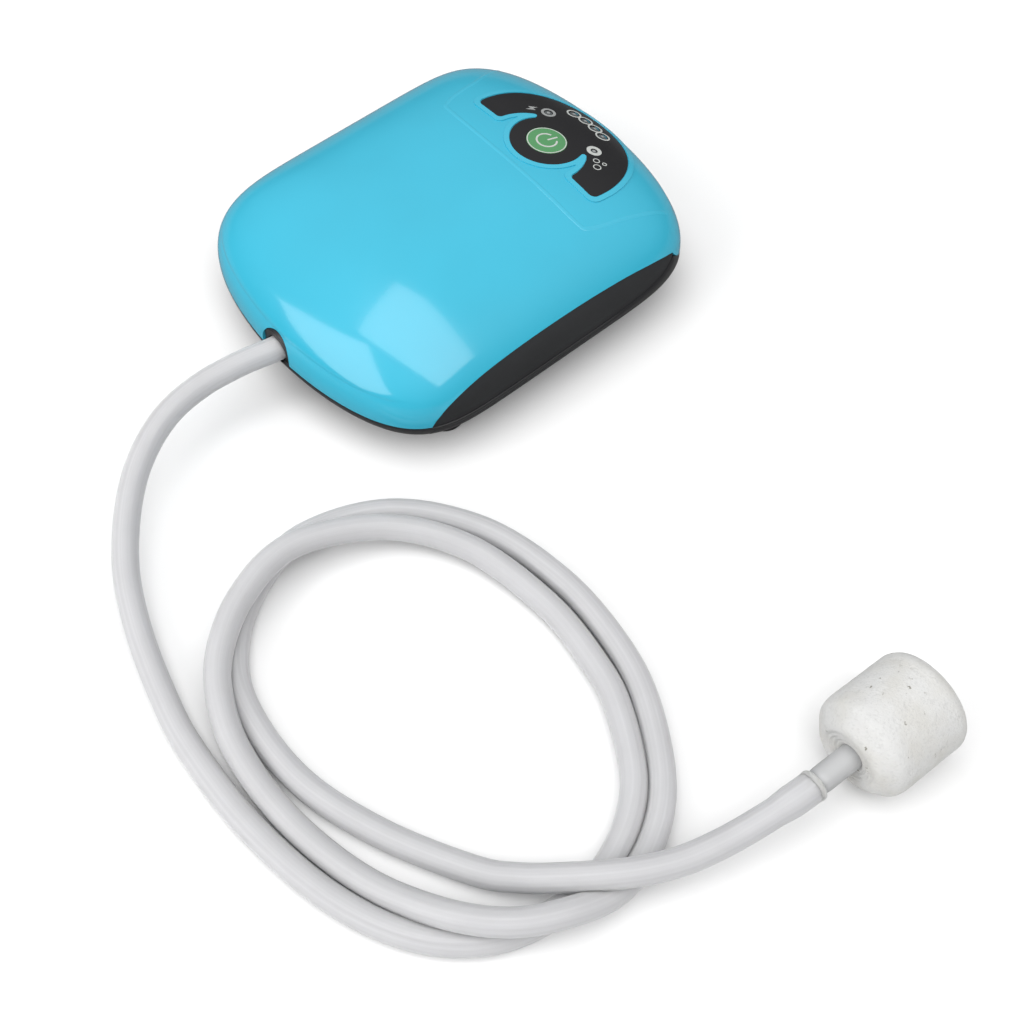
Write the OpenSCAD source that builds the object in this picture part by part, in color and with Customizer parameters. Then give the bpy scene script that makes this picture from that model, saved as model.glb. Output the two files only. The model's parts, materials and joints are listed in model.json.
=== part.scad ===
// Portable aquarium air pump with its air hose and air stone.
// Millimetres. Z is up, Y runs toward the control panel end, X runs across the casing.
// The origin is on the table, under the middle of the casing.

/* [Casing] */
// length of the casing along Y
body_length = 105.2; // [104:0.1:130]
// width of the casing along X
body_width = 86.6; // [84:0.1:110]
// height of the casing, feet included
body_height = 34.4; // [30:0.1:45]
// height of the seam between the bottom shell and the cover
seam_height = 13.4; // [11:0.1:16]
// wall thickness of both shells
wall = 2.2; // [1.6:0.1:3]
// how far the rubber feet hold the bottom shell off the table
foot_gap = 2.4; // [1:0.1:4]
// gap between the cover and the bottom shell
seam_gap = 0.2; // [0.1:0.05:0.5]

/* [Control panel] */
// offset of the panel's middle across the casing
panel_x = 3.0; // [-8:0.1:8]
// place of the power button along the casing
button_y = 28.6; // [20:0.1:34]
// radius of the power button
button_r = 4.9; // [3.5:0.1:6.5]
// how far the power button goes down
button_travel = 0.4; // [0.2:0.05:0.6]
// radius of the panel's outer edge
panel_r = 21.0; // [17:0.1:24]

/* [Air path] */
// outside diameter of the hose
hose_d = 6.0; // [4:0.1:8]
// bore of the hose, which is the nozzle's diameter
hose_bore = 4.0; // [2.5:0.1:5]
// height of the nozzle's axis
nozzle_z = 15.2; // [14:0.1:17]
// radius of the bellows' foot
bellows_r = 10.6; // [8:0.1:11]

/* [Air stone] */
// diameter of the air stone
stone_d = 23.4; // [16:0.1:30]
// length of the air stone
stone_length = 22.8; // [15:0.1:35]
// diameter of the stem in the stone
stem_d = 5.6; // [4:0.1:7]

/* [Drive] */
// how far the arm swings each way, in degrees
arm_swing = 1.5; // [0.5:0.1:2]
// distance of the arm's pivot from the bellows' axis
arm_reach = 25; // [22:0.5:27]
// length of the lithium cell
cell_length = 46; // [30:0.5:50]

/* [Hidden] */
$fn = 48;

// casing outline and dome, as powers of a rounded rectangle
plan_p = 1.8;
plan_q = 6.75;
dome_s = 2.36;
dome_t = 2.37;
base_k = 0.8;
ha = body_width / 2;
hb = body_length / 2;
sx = body_width / 86.6;
sy = body_length / 105.2;
inner_z = foot_gap + wall;

// place of the mechanism
drive_y = -22;
head_top = 18.6;
arm_z = 24.2;
pivot_z = 23.6;
coil_x = -22;

// screw and foot places
boss_x = 26 * sx;
boss_y = 38.5 * sy;
foot_x = 31.5 * sx;
foot_y = 28 * sy;

// angle of side point i of 56, closer together along the long sides
function side_angle(i) = let(q = floor(i / 14), u = (i - 14 * q) / 14)
    90 * q + 90 * (q % 2 == 0 ? pow(u, 2.2) : 1 - pow(1 - u, 2.2));
function sgn(v) = v < -0.000001 ? -1 : (v > 0.000001 ? 1 : 0);
function plan_x(t, a) = a * sgn(cos(t)) * pow(abs(cos(t)), 2 / plan_p);
function plan_y(t, b) = b * sgn(sin(t)) * pow(abs(sin(t)), 2 / plan_q);

// [scale, height] of each ring of the casing, set in by o
function low_rings(o) = [for (j = [0:3]) let(u = 1 - j / 4)
    [1 - (1 - base_k) * u * u, foot_gap + o + (seam_height - foot_gap - o) * (1 - u)]];
function high_rings(o) = [for (j = [0:9]) let(f = 9 * j)
    [pow(cos(f), 2 / dome_s), seam_height + (body_height - o - seam_height) * pow(sin(f), 2 / dome_t)]];

// the whole casing as a solid, set in by o
module loft(o) {
    rings = concat(low_rings(o), high_rings(o));
    m = len(rings);
    n = 56;
    pts = concat(
        [for (r = rings) for (i = [0:n - 1])
            [r[0] * plan_x(side_angle(i), ha - o), r[0] * plan_y(side_angle(i), hb - o), r[1]]],
        [[0, 0, rings[0][1]], [0, 0, body_height - o]]);
    sides = [for (r = [0:m - 2]) for (i = [0:n - 1]) let(a = r * n + i, b = r * n + (i + 1) % n)
        each [[a, a + n, b], [b, a + n, b + n]]];
    base = [for (i = [0:n - 1]) [m * n, i, (i + 1) % n]];
    lid = [for (i = [0:n - 1]) [m * n + 1, (m - 1) * n + (i + 1) % n, (m - 1) * n + i]];
    polyhedron(points = pts, faces = concat(sides, base, lid), convexity = 4);
}

// share of the outline that passes through a place in plan, and the dome's height there
function share(x, y, lo, hi, n) = n == 0 ? (lo + hi) / 2 :
    let(m = (lo + hi) / 2, g = pow(abs(x) / (m * ha), plan_p) + pow(abs(y) / (m * hb), plan_q) - 1)
    g > 0 ? share(x, y, m, hi, n - 1) : share(x, y, lo, m, n - 1);
function dome_z(x, y) = seam_height + (body_height - seam_height)
    * pow(max(0, 1 - pow(share(x, y, 0.02, 1.2, 24), dome_s)), 1 / dome_t);

// the button's own frame: its origin on the dome, its Z along the dome's normal
button_z = dome_z(panel_x, button_y);
tilt = atan((dome_z(panel_x, button_y - 2) - dome_z(panel_x, button_y + 2)) / 4);
board_top = -8.4;
module button_frame() {
    translate([panel_x, button_y, button_z]) rotate([-tilt, 0, 0]) children();
}

// lens places across from the panel's middle and along the casing, and the dome's own frame at one
LEDS = [[-8.7, 36.2], [8.7, 36.2], [-5.8, 42.5], [-2, 43.2], [2, 43.2], [5.8, 42.5]];
module lens_frame(p) {
    x = panel_x + p[0];
    y = p[1];
    nx = (dome_z(x - 1, y) - dome_z(x + 1, y)) / 2;
    ny = (dome_z(x, y - 1) - dome_z(x, y + 1)) / 2;
    translate([x, y, dome_z(x, y)]) rotate([0, atan(norm([nx, ny])), atan2(ny, nx)]) children();
}

// rounded rectangle centred on the origin
module rounded(w, d, r) {
    square([w - 2 * r, d], center = true);
    square([w, d - 2 * r], center = true);
    for (i = [-1, 1]) for (j = [-1, 1])
        translate([i * (w / 2 - r), j * (d / 2 - r)]) circle(r = r);
}

// outline of the control panel, grown by g
module panel_outline(g) {
    translate([panel_x, button_y]) {
        circle(r = 9 + g);
        difference() {
            intersection() {
                translate([0, -1.5]) circle(r = panel_r + g, $fn = 72);
                translate([-40, -4 - g]) square([80, 60]);
            }
            difference() {
                union() {
                    circle(r = 10.6 - g);
                    translate([0, -4.2]) circle(r = 12.9 - g);
                }
                translate([0, -g]) polygon([[0, 0], [30, 15.3], [0, 40], [-30, 15.3]]);
            }
        }
    }
}

// side view of the dark flank that shows through the cover, grown by g
function flank(g) = [[-38 - g, 9], [-38 - g, 13.6], [-36.8 - g, 16 + g], [-34, 18.4 + g], [-29, 20.4 + g],
    [-22, 21.6 + g], [-10, 22.1 + g], [6, 22.1 + g], [20, 21.5 + g], [29, 20.3 + g],
    [34, 18.9 + g], [36.2 + g, 17.6 + g], [36.8 + g, 13.6], [36.8 + g, 9]];
module flank_block(g) {
    rotate([90, 0, 90]) translate([0, 0, -100])
        linear_extrude(200) polygon([for (p = flank(g)) [p[0] * sy, p[1]]]);
}

module slab(z0, z1) {
    translate([-150, -150, z0]) cube([300, 300, z1 - z0]);
}

module at_bosses() {
    for (i = [-1, 1]) for (j = [-1, 1]) translate([i * boss_x, j * boss_y, 0]) children();
}

module top_cover() {
    color([0.27, 0.76, 0.9]) difference() {
        union() {
            difference() {
                loft(0);
                loft(wall);
                slab(-1, seam_height + seam_gap);
                flank_block(0.25);
                difference() {
                    translate([0, 0, 15]) linear_extrude(30) panel_outline(0.25);
                    loft(0.95);
                }
                translate([0, -30, nozzle_z]) rotate([90, 0, 0]) cylinder(r = hose_d / 2 + 2.1, h = 40);
                translate([-hose_d / 2 - 2.1, -70, 8]) cube([hose_d + 4.2, 40, nozzle_z - 8]);
                for (p = LEDS) lens_frame(p) translate([0, 0, -6]) cylinder(r = 1.2, h = 12, $fn = 24);
            }
            intersection() {
                loft(1);
                at_bosses() translate([0, 0, seam_height + seam_gap]) cylinder(r = 3.6, h = 30);
            }
            intersection() {
                loft(1.3);
                button_frame() for (i = [-1, 1]) for (y = [-11, 8])
                    translate([i * 14, y, board_top]) cylinder(r = 2.3, h = 12, $fn = 32);
            }
        }
        button_frame() translate([0, 0, -4]) cylinder(r = button_r + 0.3, h = 10);
        at_bosses() translate([0, 0, 10]) cylinder(r = 1.4, h = 11, $fn = 24);
        button_frame() for (i = [-1, 1]) for (y = [-11, 8])
            translate([i * 14, y, board_top - 1]) cylinder(r = 0.9, h = 5, $fn = 24);
    }
}

module bottom_shell() {
    color([0.2, 0.2, 0.21]) difference() {
        union() {
            intersection() {
                difference() {
                    loft(0);
                    loft(wall);
                }
                slab(-1, seam_height);
            }
            intersection() {
                difference() {
                    loft(0.35);
                    loft(wall + 0.35);
                }
                flank_block(0);
                slab(seam_height - 0.4, 40);
            }
            intersection() {
                loft(0.3);
                union() {
                    at_bosses() translate([0, 0, foot_gap]) cylinder(r = 4.2, h = seam_height - foot_gap);
                    for (i = [-1, 1]) translate([i * 7, 39 * sy, foot_gap]) cylinder(r = 2, h = 4.2, $fn = 32);
                }
            }
        }
        at_bosses() translate([0, 0, -1]) cylinder(r = 3.1, h = 7.6);
        at_bosses() translate([0, 0, 6]) cylinder(r = 1.6, h = 10, $fn = 32);
        for (i = [-1, 1]) for (j = [-1, 1])
            translate([i * foot_x, j * foot_y, -1]) cylinder(r = 4.5, h = foot_gap + 2);
        translate([0, -35 * sy, nozzle_z]) rotate([90, 0, 0]) cylinder(r = hose_d / 2 + 0.6, h = 40);
        translate([-4.6, 44 * sy, 7.4]) cube([9.2, 30, 4.2]);
        for (y = [-25, -22, -19]) translate([1, y - 0.6, -1]) cube([8, 1.2, 8]);
    }
}

module control_panel() {
    color([0.17, 0.17, 0.18]) difference() {
        intersection() {
            loft(0.1);
            translate([0, 0, 15]) linear_extrude(30) panel_outline(0);
        }
        loft(0.9);
        button_frame() translate([0, 0, -4]) cylinder(r = button_r + 0.3, h = 10);
        for (p = LEDS) lens_frame(p) translate([0, 0, -6]) cylinder(r = 1.15, h = 12, $fn = 24);
    }
}

module power_button() {
    color([0.3, 0.56, 0.34]) button_frame() {
        translate([0, 0, -3.2]) cylinder(r = button_r, h = 3.1);
        translate([0, 0, -4]) cylinder(r = button_r + 1.3, h = 0.9);
        translate([0, 0, -4.5]) cylinder(r = 1.6, h = 0.7, $fn = 32);
    }
}

module led_lenses() {
    color([0.85, 0.87, 0.85]) for (p = LEDS) lens_frame(p)
        translate([0, 0, -3.6]) cylinder(r = 1.05, h = 3.45, $fn = 24);
}

module circuit_board() {
    color([0.1, 0.35, 0.2]) button_frame() translate([0, 0, board_top - 1.6]) difference() {
        linear_extrude(1.6) {
            translate([0, -2]) rounded(34, 26, 1.5);
            translate([0, 10]) rounded(18, 14.5, 1.5);
        }
        for (i = [-1, 1]) for (y = [-11, 8]) translate([i * 14, y, -1]) cylinder(r = 1.1, h = 4, $fn = 24);
    }
}

module tact_switch() {
    color([0.25, 0.25, 0.26]) button_frame() {
        translate([-3, -3, board_top]) cube([6, 6, 2.4]);
        translate([0, 0, board_top + 2.4]) cylinder(r = 1.7, h = 0.6, $fn = 32);
    }
}

module board_leds() {
    color([0.9, 0.9, 0.7]) button_frame() for (p = LEDS)
        translate([p[0] - 1, (p[1] - button_y - board_top * sin(-tilt)) / cos(tilt) - 0.65, board_top])
            cube([2, 1.3, 0.8]);
}

module board_screws() {
    color([0.7, 0.7, 0.72]) button_frame() for (i = [-1, 1]) for (y = [-11, 8]) translate([i * 14, y, 0]) {
        translate([0, 0, board_top - 2.8]) cylinder(r = 1.9, h = 1.2, $fn = 32);
        translate([0, 0, board_top - 1.7]) cylinder(r = 0.9, h = 5.2, $fn = 24);
    }
}

module charge_board() {
    color([0.1, 0.35, 0.2]) translate([0, 39 * sy, foot_gap + 4.2]) linear_extrude(1.2) rounded(19, 9.4, 0.8);
}

module usb_socket() {
    color([0.75, 0.76, 0.78]) difference() {
        translate([-3.8, 41.2 * sy, foot_gap + 5.4]) cube([7.6, 5.6, 2.9]);
        translate([-3.3, 42 * sy, foot_gap + 5.9]) cube([6.6, 8, 1.9]);
    }
}

module battery_cell() {
    color([0.3, 0.45, 0.75]) translate([0, 16.5, inner_z + 1]) linear_extrude(9.2) rounded(cell_length, 28, 2.5);
}

module battery_pad() {
    color([0.15, 0.15, 0.15]) translate([0, 16.5, inner_z]) linear_extrude(1) rounded(cell_length - 8, 22, 1);
}

module iron_core() {
    color([0.45, 0.46, 0.48]) translate([coil_x - 5, drive_y, inner_z]) {
        translate([0, -11.6, 0]) cube([10, 23.2, 3.9]);
        translate([0, -3.5, 3.4]) cube([10, 7, 10]);
        for (y = [-11.6, 8.4]) translate([0, y, 3.4]) cube([10, 3.2, 10]);
    }
}

module coil_bobbin() {
    color([0.85, 0.84, 0.8]) translate([coil_x, drive_y, inner_z + 4.1]) difference() {
        union() {
            linear_extrude(1) rounded(19, 16.4, 1);
            translate([-6.2, -4.7, 0.5]) cube([12.4, 9.4, 7.6]);
            translate([0, 0, 7.7]) linear_extrude(1) rounded(19, 16.4, 1);
        }
        translate([-5.2, -3.7, -1]) cube([10.4, 7.4, 12]);
    }
}

module coil_winding() {
    color([0.72, 0.4, 0.2]) translate([coil_x, drive_y, inner_z + 5.1]) difference() {
        linear_extrude(6.7) rounded(18, 15.4, 3);
        translate([-6.2, -4.7, -1]) cube([12.4, 9.4, 9]);
    }
}

module arm_mount() {
    color([0.3, 0.3, 0.32]) difference() {
        union() {
            translate([arm_reach - 4, drive_y - 8, inner_z]) cube([8, 16, 2.4]);
            for (y = [-8, 5.6]) translate([arm_reach, drive_y + y, 0]) {
                translate([-2.2, 0, inner_z + 2]) cube([4.4, 2.4, pivot_z - inner_z - 2]);
                translate([0, 0, pivot_z]) rotate([-90, 0, 0]) cylinder(r = 2.2, h = 2.4);
            }
        }
        translate([arm_reach, drive_y - 10, pivot_z]) rotate([-90, 0, 0]) cylinder(r = 1, h = 20, $fn = 32);
    }
}

module pivot_pin() {
    color([0.75, 0.76, 0.78]) translate([arm_reach, drive_y - 8, pivot_z])
        rotate([-90, 0, 0]) cylinder(r = 1, h = 16, $fn = 32);
}

module swing_arm() {
    color([0.6, 0.61, 0.63]) difference() {
        union() {
            translate([coil_x - 5, drive_y - 5, arm_z]) cube([arm_reach - coil_x + 5, 10, 1.2]);
            translate([arm_reach, drive_y - 5, pivot_z]) rotate([-90, 0, 0]) cylinder(r = 2, h = 10);
        }
        translate([arm_reach, drive_y - 6, pivot_z]) rotate([-90, 0, 0]) cylinder(r = 1.05, h = 12, $fn = 32);
        translate([0, drive_y, arm_z - 1]) cylinder(r = 1.25, h = 4, $fn = 32);
    }
}

module arm_magnets() {
    color([0.5, 0.5, 0.53]) for (y = [-4.6, 0.2])
        translate([coil_x - 4, drive_y + y, arm_z - 3.8]) cube([8, 4.4, 3.8]);
}

module bellows_clamp() {
    color([0.75, 0.76, 0.78]) translate([0, drive_y, 0]) {
        translate([0, 0, arm_z + 1.2]) cylinder(r = 2.6, h = 1.5, $fn = 32);
        translate([0, 0, arm_z - 1.2]) cylinder(r = 1.2, h = 3, $fn = 32);
        translate([0, 0, arm_z - 1.6]) cylinder(r = 5, h = 0.7);
    }
}

module bellows() {
    r = bellows_r;
    color([0.12, 0.12, 0.12]) translate([0, drive_y, head_top]) rotate_extrude() polygon([
        [r - 1.2, 0], [r, 0], [r, 1], [r - 1.7, 2], [r - 0.4, 3.1], [r - 1.9, 4.3], [r - 2.4, 5.6],
        [1.2, 5.6], [1.2, 4.7], [r - 3.1, 4.7], [r - 2.8, 4.1], [r - 1.4, 3.1], [r - 2.7, 2.1], [r - 1.2, 1]]);
}

module at_valve_screws() {
    for (i = [-1, 1]) for (j = [-1, 1]) translate([i * 9.6, drive_y + j * 9.6, 0]) children();
}

module valve_head() {
    color([0.85, 0.85, 0.82]) difference() {
        translate([0, drive_y, 11.6]) linear_extrude(head_top - 11.6) rounded(23, 23, 1.5);
        translate([-9, drive_y - 6, 11]) cube([10.4, 12, 5.8]);
        translate([5, drive_y, 10]) cylinder(r = 1.6, h = 12, $fn = 32);
        translate([-4.5, drive_y, 10]) cylinder(r = 1.5, h = 12, $fn = 32);
        translate([0, drive_y - 5, nozzle_z]) rotate([90, 0, 0]) cylinder(r = 1.2, h = 10, $fn = 32);
        translate([0, drive_y - 9.5, nozzle_z]) rotate([90, 0, 0]) cylinder(r = hose_bore / 2, h = 5, $fn = 40);
        at_valve_screws() translate([0, 0, 10]) cylinder(r = 1, h = 12, $fn = 24);
    }
}

module valve_gasket() {
    color([0.1, 0.1, 0.1]) difference() {
        translate([0, drive_y, 11]) linear_extrude(0.6) rounded(23, 23, 1.5);
        translate([5, drive_y, 10]) cylinder(r = 1.8, h = 3, $fn = 32);
        at_valve_screws() translate([0, 0, 10]) cylinder(r = 1, h = 3, $fn = 24);
    }
}

module valve_box() {
    color([0.8, 0.8, 0.78]) difference() {
        translate([0, drive_y, inner_z]) linear_extrude(11 - inner_z) rounded(23, 23, 1.5);
        translate([0, drive_y - 6, inner_z + 1.4]) cube([8, 12, 10]);
        translate([-8, drive_y - 6, inner_z + 1.4]) cube([7, 12, 10]);
        translate([4, drive_y, inner_z - 1]) cylinder(r = 3, h = 4);
        at_valve_screws() translate([0, 0, 7]) cylinder(r = 0.9, h = 6, $fn = 24);
    }
}

module intake_filter() {
    color([0.35, 0.38, 0.35]) translate([0.3, drive_y - 5.7, inner_z + 1.7]) cube([7.4, 11.4, 4]);
}

module intake_flap() {
    color([0.2, 0.2, 0.2]) {
        translate([1, drive_y - 2.5, head_top + 0.1]) cube([6.4, 5, 0.4]);
        translate([1, drive_y - 2.5, head_top + 0.3]) rotate([-90, 0, 0]) cylinder(r = 0.2, h = 5, $fn = 24);
    }
}

module exhaust_flap() {
    color([0.2, 0.2, 0.2]) {
        translate([-7, drive_y - 2.5, 16.3]) cube([6.2, 5, 0.4]);
        translate([-0.8, drive_y - 2.5, 16.5]) rotate([-90, 0, 0]) cylinder(r = 0.2, h = 5, $fn = 24);
    }
}

module valve_screws() {
    color([0.75, 0.76, 0.78]) at_valve_screws() {
        translate([0, 0, head_top]) cylinder(r = 1.6, h = 1.2, $fn = 32);
        translate([0, 0, 7]) cylinder(r = 0.9, h = head_top - 6.5, $fn = 24);
    }
}

module outlet_nozzle() {
    color([0.85, 0.85, 0.82]) translate([0, drive_y - 9.5, nozzle_z]) rotate([90, 0, 0]) difference() {
        union() {
            cylinder(r = hose_bore / 2, h = 12.5, $fn = 40);
            translate([0, 0, 2]) cylinder(r = hose_bore / 2 + 1.2, h = 1.5, $fn = 40);
            translate([0, 0, 10]) cylinder(r1 = hose_bore / 2 + 0.3, r2 = hose_bore / 2 - 0.1, h = 2.5, $fn = 40);
        }
        translate([0, 0, -1]) cylinder(r = 1.2, h = 20, $fn = 32);
    }
}

module casing_screws() {
    color([0.75, 0.76, 0.78]) at_bosses() {
        translate([0, 0, 4.8]) cylinder(r = 2.9, h = 1.8);
        translate([0, 0, 6.4]) cylinder(r = 1.4, h = 13.6, $fn = 32);
    }
}

module rubber_feet() {
    color([0.1, 0.1, 0.1]) for (i = [-1, 1]) for (j = [-1, 1])
        translate([i * foot_x, j * foot_y, 0]) {
            cylinder(r1 = 4, r2 = 4.4, h = 0.6);
            translate([0, 0, 0.5]) cylinder(r = 4.4, h = foot_gap + 0.5);
        }
}

// closed tube of n sides along a course, its rings square to the course
function unit(v) = v / norm(v);
function heading(p, i) = unit(p[min(i + 1, len(p) - 1)] - p[max(i - 1, 0)]);
module tube(p, heads, d, sides) {
    n = len(p);
    pts = [for (i = [0:n - 1]) let(h = heads[i], s = unit(cross(h, [0.13, 0, 1])), u = cross(s, h))
        for (j = [0:sides - 1]) p[i] + d / 2 * (s * cos(360 * j / sides) + u * sin(360 * j / sides))];
    skin = [for (i = [0:n - 2]) for (j = [0:sides - 1])
        let(a = i * sides + j, b = i * sides + (j + 1) % sides)
        each [[a, b, a + sides], [b, b + sides, a + sides]]];
    ends = [[for (j = [0:sides - 1]) sides - 1 - j], [for (j = [0:sides - 1]) (n - 1) * sides + j]];
    polyhedron(points = pts, faces = concat(skin, ends), convexity = 10);
}
module wire(p) {
    tube(p, [for (i = [0:len(p) - 1]) heading(p, i)], 1.2, 10);
}

module battery_wires() {
    color([0.75, 0.1, 0.1]) for (x = [-8, 8])
        wire([[x, 31, 12], [x, 33.5, 12], [x, 35.4, 11.2], [x, 36.6, 9.8], [x, 37, 8.2]]);
}

module coil_wires() {
    color([0.1, 0.1, 0.1]) {
        z = inner_z + 14.2;
        wire([[-20, -15.5, z], [-20, -8, z], [-18, 4, z + 1.2], [-5, 13, 23]]);
        wire([[-24, -15.5, z], [-24, -6, z], [-21, 6, z + 1.2], [-8, 15.5, 23]]);
    }
}

// course of the hose: out of the casing, down to the table, two loose turns, up to the stem
ROUTE = [[0, -44, 15.2], [0, -52, 15.2], [-2, -61, 14.9], [-3.5, -71.5, 13.8], [-2.5, -82, 12.2], [2.5, -92.5, 10.2],
    [10.5, -101.5, 8.2], [22, -110, 6.2], [35.5, -116, 4.6], [51, -120.5, 3.5], [65, -123, 3.1],
    [87, -123.5, 3.1], [109, -120, 3.1], [125.5, -112.5, 3.1], [136, -101, 3.1], [140, -86, 3.1],
    [138.5, -72.5, 3.1], [130.5, -59.5, 3.1], [115.5, -50, 3.1], [103.5, -46.5, 3.1], [87, -45, 3.2],
    [66, -49, 4.6], [50.5, -60.5, 6.6], [42.5, -79.5, 9.3], [45.5, -95.5, 8.8], [54.5, -108, 7.6],
    [66, -114.5, 6], [77, -116.8, 4.2], [89, -117, 3.2], [100.5, -115.6, 3.1], [111, -113, 3.5],
    [120, -109.5, 5.2], [129.5, -104.5, 8], [137, -98, 9.3], [142, -89.5, 8.8], [144.5, -78.5, 5.2],
    [142.5, -67.5, 3.2], [134.5, -55.5, 3.1], [119, -45, 3.1], [104, -40, 3.1], [84.5, -38.5, 3.1],
    [63.5, -43, 3.1], [46, -56, 3.1], [38.5, -75.5, 3.1], [43.5, -92.5, 3.1], [54.5, -104.5, 3.1],
    [68, -109.5, 3.1], [86, -110, 3.1], [105, -104.5, 3.1], [123, -95.5, 3.5], [130.5, -90, 5.2],
    [136.5, -84.5, 8], [141.5, -78.8, 9.4], [146, -72, 9.4], [149.5, -64.5, 9], [152, -56, 9.1],
    [154, -47, 10.3], [155.3, -39.5, 11.5], [155.7, -35.2, 11.7]];

// two rings to each leg of the course, on a smooth curve through its points
function bend(a, b, c, d, t) = 0.5 * (2 * b + (c - a) * t + (2 * a - 5 * b + 4 * c - d) * t * t
    + (3 * b - 3 * c + d - a) * t * t * t);
function point(i) = i <= 0 ? ROUTE[0] : ROUTE[min(i, len(ROUTE) - 1)] + [0, min(0, 52.6 - hb), 0];
function legs(i) = i == 0 || i > 48 || norm(point(i + 1) - point(i)) < 14 ? 1 : 2;
HOSE = [for (i = [0:len(ROUTE) - 2]) for (j = [0:legs(i) - 1])
    bend(point(i - 1), point(i), point(i + 1), point(i + 2), j / legs(i)), point(len(ROUTE) - 1)];
HEADS = [for (i = [0:len(HOSE) - 1]) i == 0 ? [0, -1, 0]
    : (i == len(HOSE) - 1 ? [sin(3), cos(3), 0] : heading(HOSE, i))];

module air_hose() {
    color([0.85, 0.86, 0.87]) tube(HOSE, HEADS, hose_d, 10);
}

// frame of the stone: its Z runs along the stem, from the hose's end into the stone
module stone_frame() {
    translate(point(len(ROUTE) - 1)) rotate([-90, 0, -3]) children();
}

module stone_stem() {
    color([0.82, 0.83, 0.85]) stone_frame() cylinder(r = stem_d / 2, h = 13);
}

module air_stone() {
    r = stone_d / 2;
    h = stone_length;
    color([0.9, 0.9, 0.89]) stone_frame() translate([0, 0, 9]) rotate_extrude() polygon([
        [0, 4], [stem_d / 2, 4], [stem_d / 2, 2.2], [5, 1.6], [5.6, 0.2], [7.4, 0], [9.2, 0.5], [r - 0.3, 2.8],
        [r, 3.8], [r, h - 2.2], [r - 0.5, h - 0.7], [r - 1.9, h], [0, h]]);
}

top_cover();
bottom_shell();
control_panel();
power_button();
led_lenses();
circuit_board();
tact_switch();
board_leds();
board_screws();
charge_board();
usb_socket();
battery_cell();
battery_pad();
iron_core();
coil_bobbin();
coil_winding();
arm_mount();
pivot_pin();
swing_arm();
arm_magnets();
bellows_clamp();
bellows();
valve_head();
valve_gasket();
valve_box();
intake_filter();
intake_flap();
exhaust_flap();
valve_screws();
outlet_nozzle();
casing_screws();
rubber_feet();
battery_wires();
coil_wires();
air_hose();
stone_stem();
air_stone();
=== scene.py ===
"""A portable aquarium air pump, its air hose and its air stone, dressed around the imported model.

Lengths are metres and Z is up. Each sub-assembly is a class that builds its own pieces in place.
"""

import json
import logging
import math
import random
from dataclasses import dataclass, field
from enum import Enum

import bmesh
import bpy
import numpy as np
from mathutils import Matrix, Vector


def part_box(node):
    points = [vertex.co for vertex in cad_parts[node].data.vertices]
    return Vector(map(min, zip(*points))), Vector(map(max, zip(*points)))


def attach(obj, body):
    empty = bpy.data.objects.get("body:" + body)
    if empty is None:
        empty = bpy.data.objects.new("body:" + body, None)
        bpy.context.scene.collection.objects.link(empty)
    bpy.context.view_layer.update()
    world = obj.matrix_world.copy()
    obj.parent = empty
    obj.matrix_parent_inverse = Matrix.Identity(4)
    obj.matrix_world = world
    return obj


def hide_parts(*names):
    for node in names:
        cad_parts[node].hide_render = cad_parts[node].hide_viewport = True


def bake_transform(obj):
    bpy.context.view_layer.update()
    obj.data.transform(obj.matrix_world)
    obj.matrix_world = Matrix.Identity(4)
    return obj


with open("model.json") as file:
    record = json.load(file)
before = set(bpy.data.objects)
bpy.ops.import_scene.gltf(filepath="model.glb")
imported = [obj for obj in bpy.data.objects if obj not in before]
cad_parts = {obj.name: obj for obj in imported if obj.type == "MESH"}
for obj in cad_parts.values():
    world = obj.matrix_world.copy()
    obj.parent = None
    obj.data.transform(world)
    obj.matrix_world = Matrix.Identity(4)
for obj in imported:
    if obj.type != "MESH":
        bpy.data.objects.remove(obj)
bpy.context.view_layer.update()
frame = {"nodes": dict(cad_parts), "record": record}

logging.basicConfig(level=logging.INFO, format="%(message)s")
LOG = logging.getLogger("air_pump")
MM = 0.001
Colour = tuple[float, float, float]


class Slot(Enum):
    """The record's material slots."""

    COVER = "cover_plastic"
    SHELL = "shell_plastic"
    FILM = "panel_film"
    BUTTON = "button_green"
    CLEAR = "clear_plastic"
    BOARD = "board"
    BLACK = "black_plastic"
    WHITE = "white_plastic"
    RUBBER = "rubber"
    STEEL = "steel"
    PLATED = "plated"
    COPPER = "copper_wire"
    CELL = "cell_wrap"
    FOAM = "foam"
    WIRE = "wire_cover"
    HOSE = "hose_vinyl"
    STONE = "stone"


class Side(Enum):
    """The two long sides of the casing."""

    LEFT = -1
    RIGHT = 1


# ---------------------------------------------------------------- finishes


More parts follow.
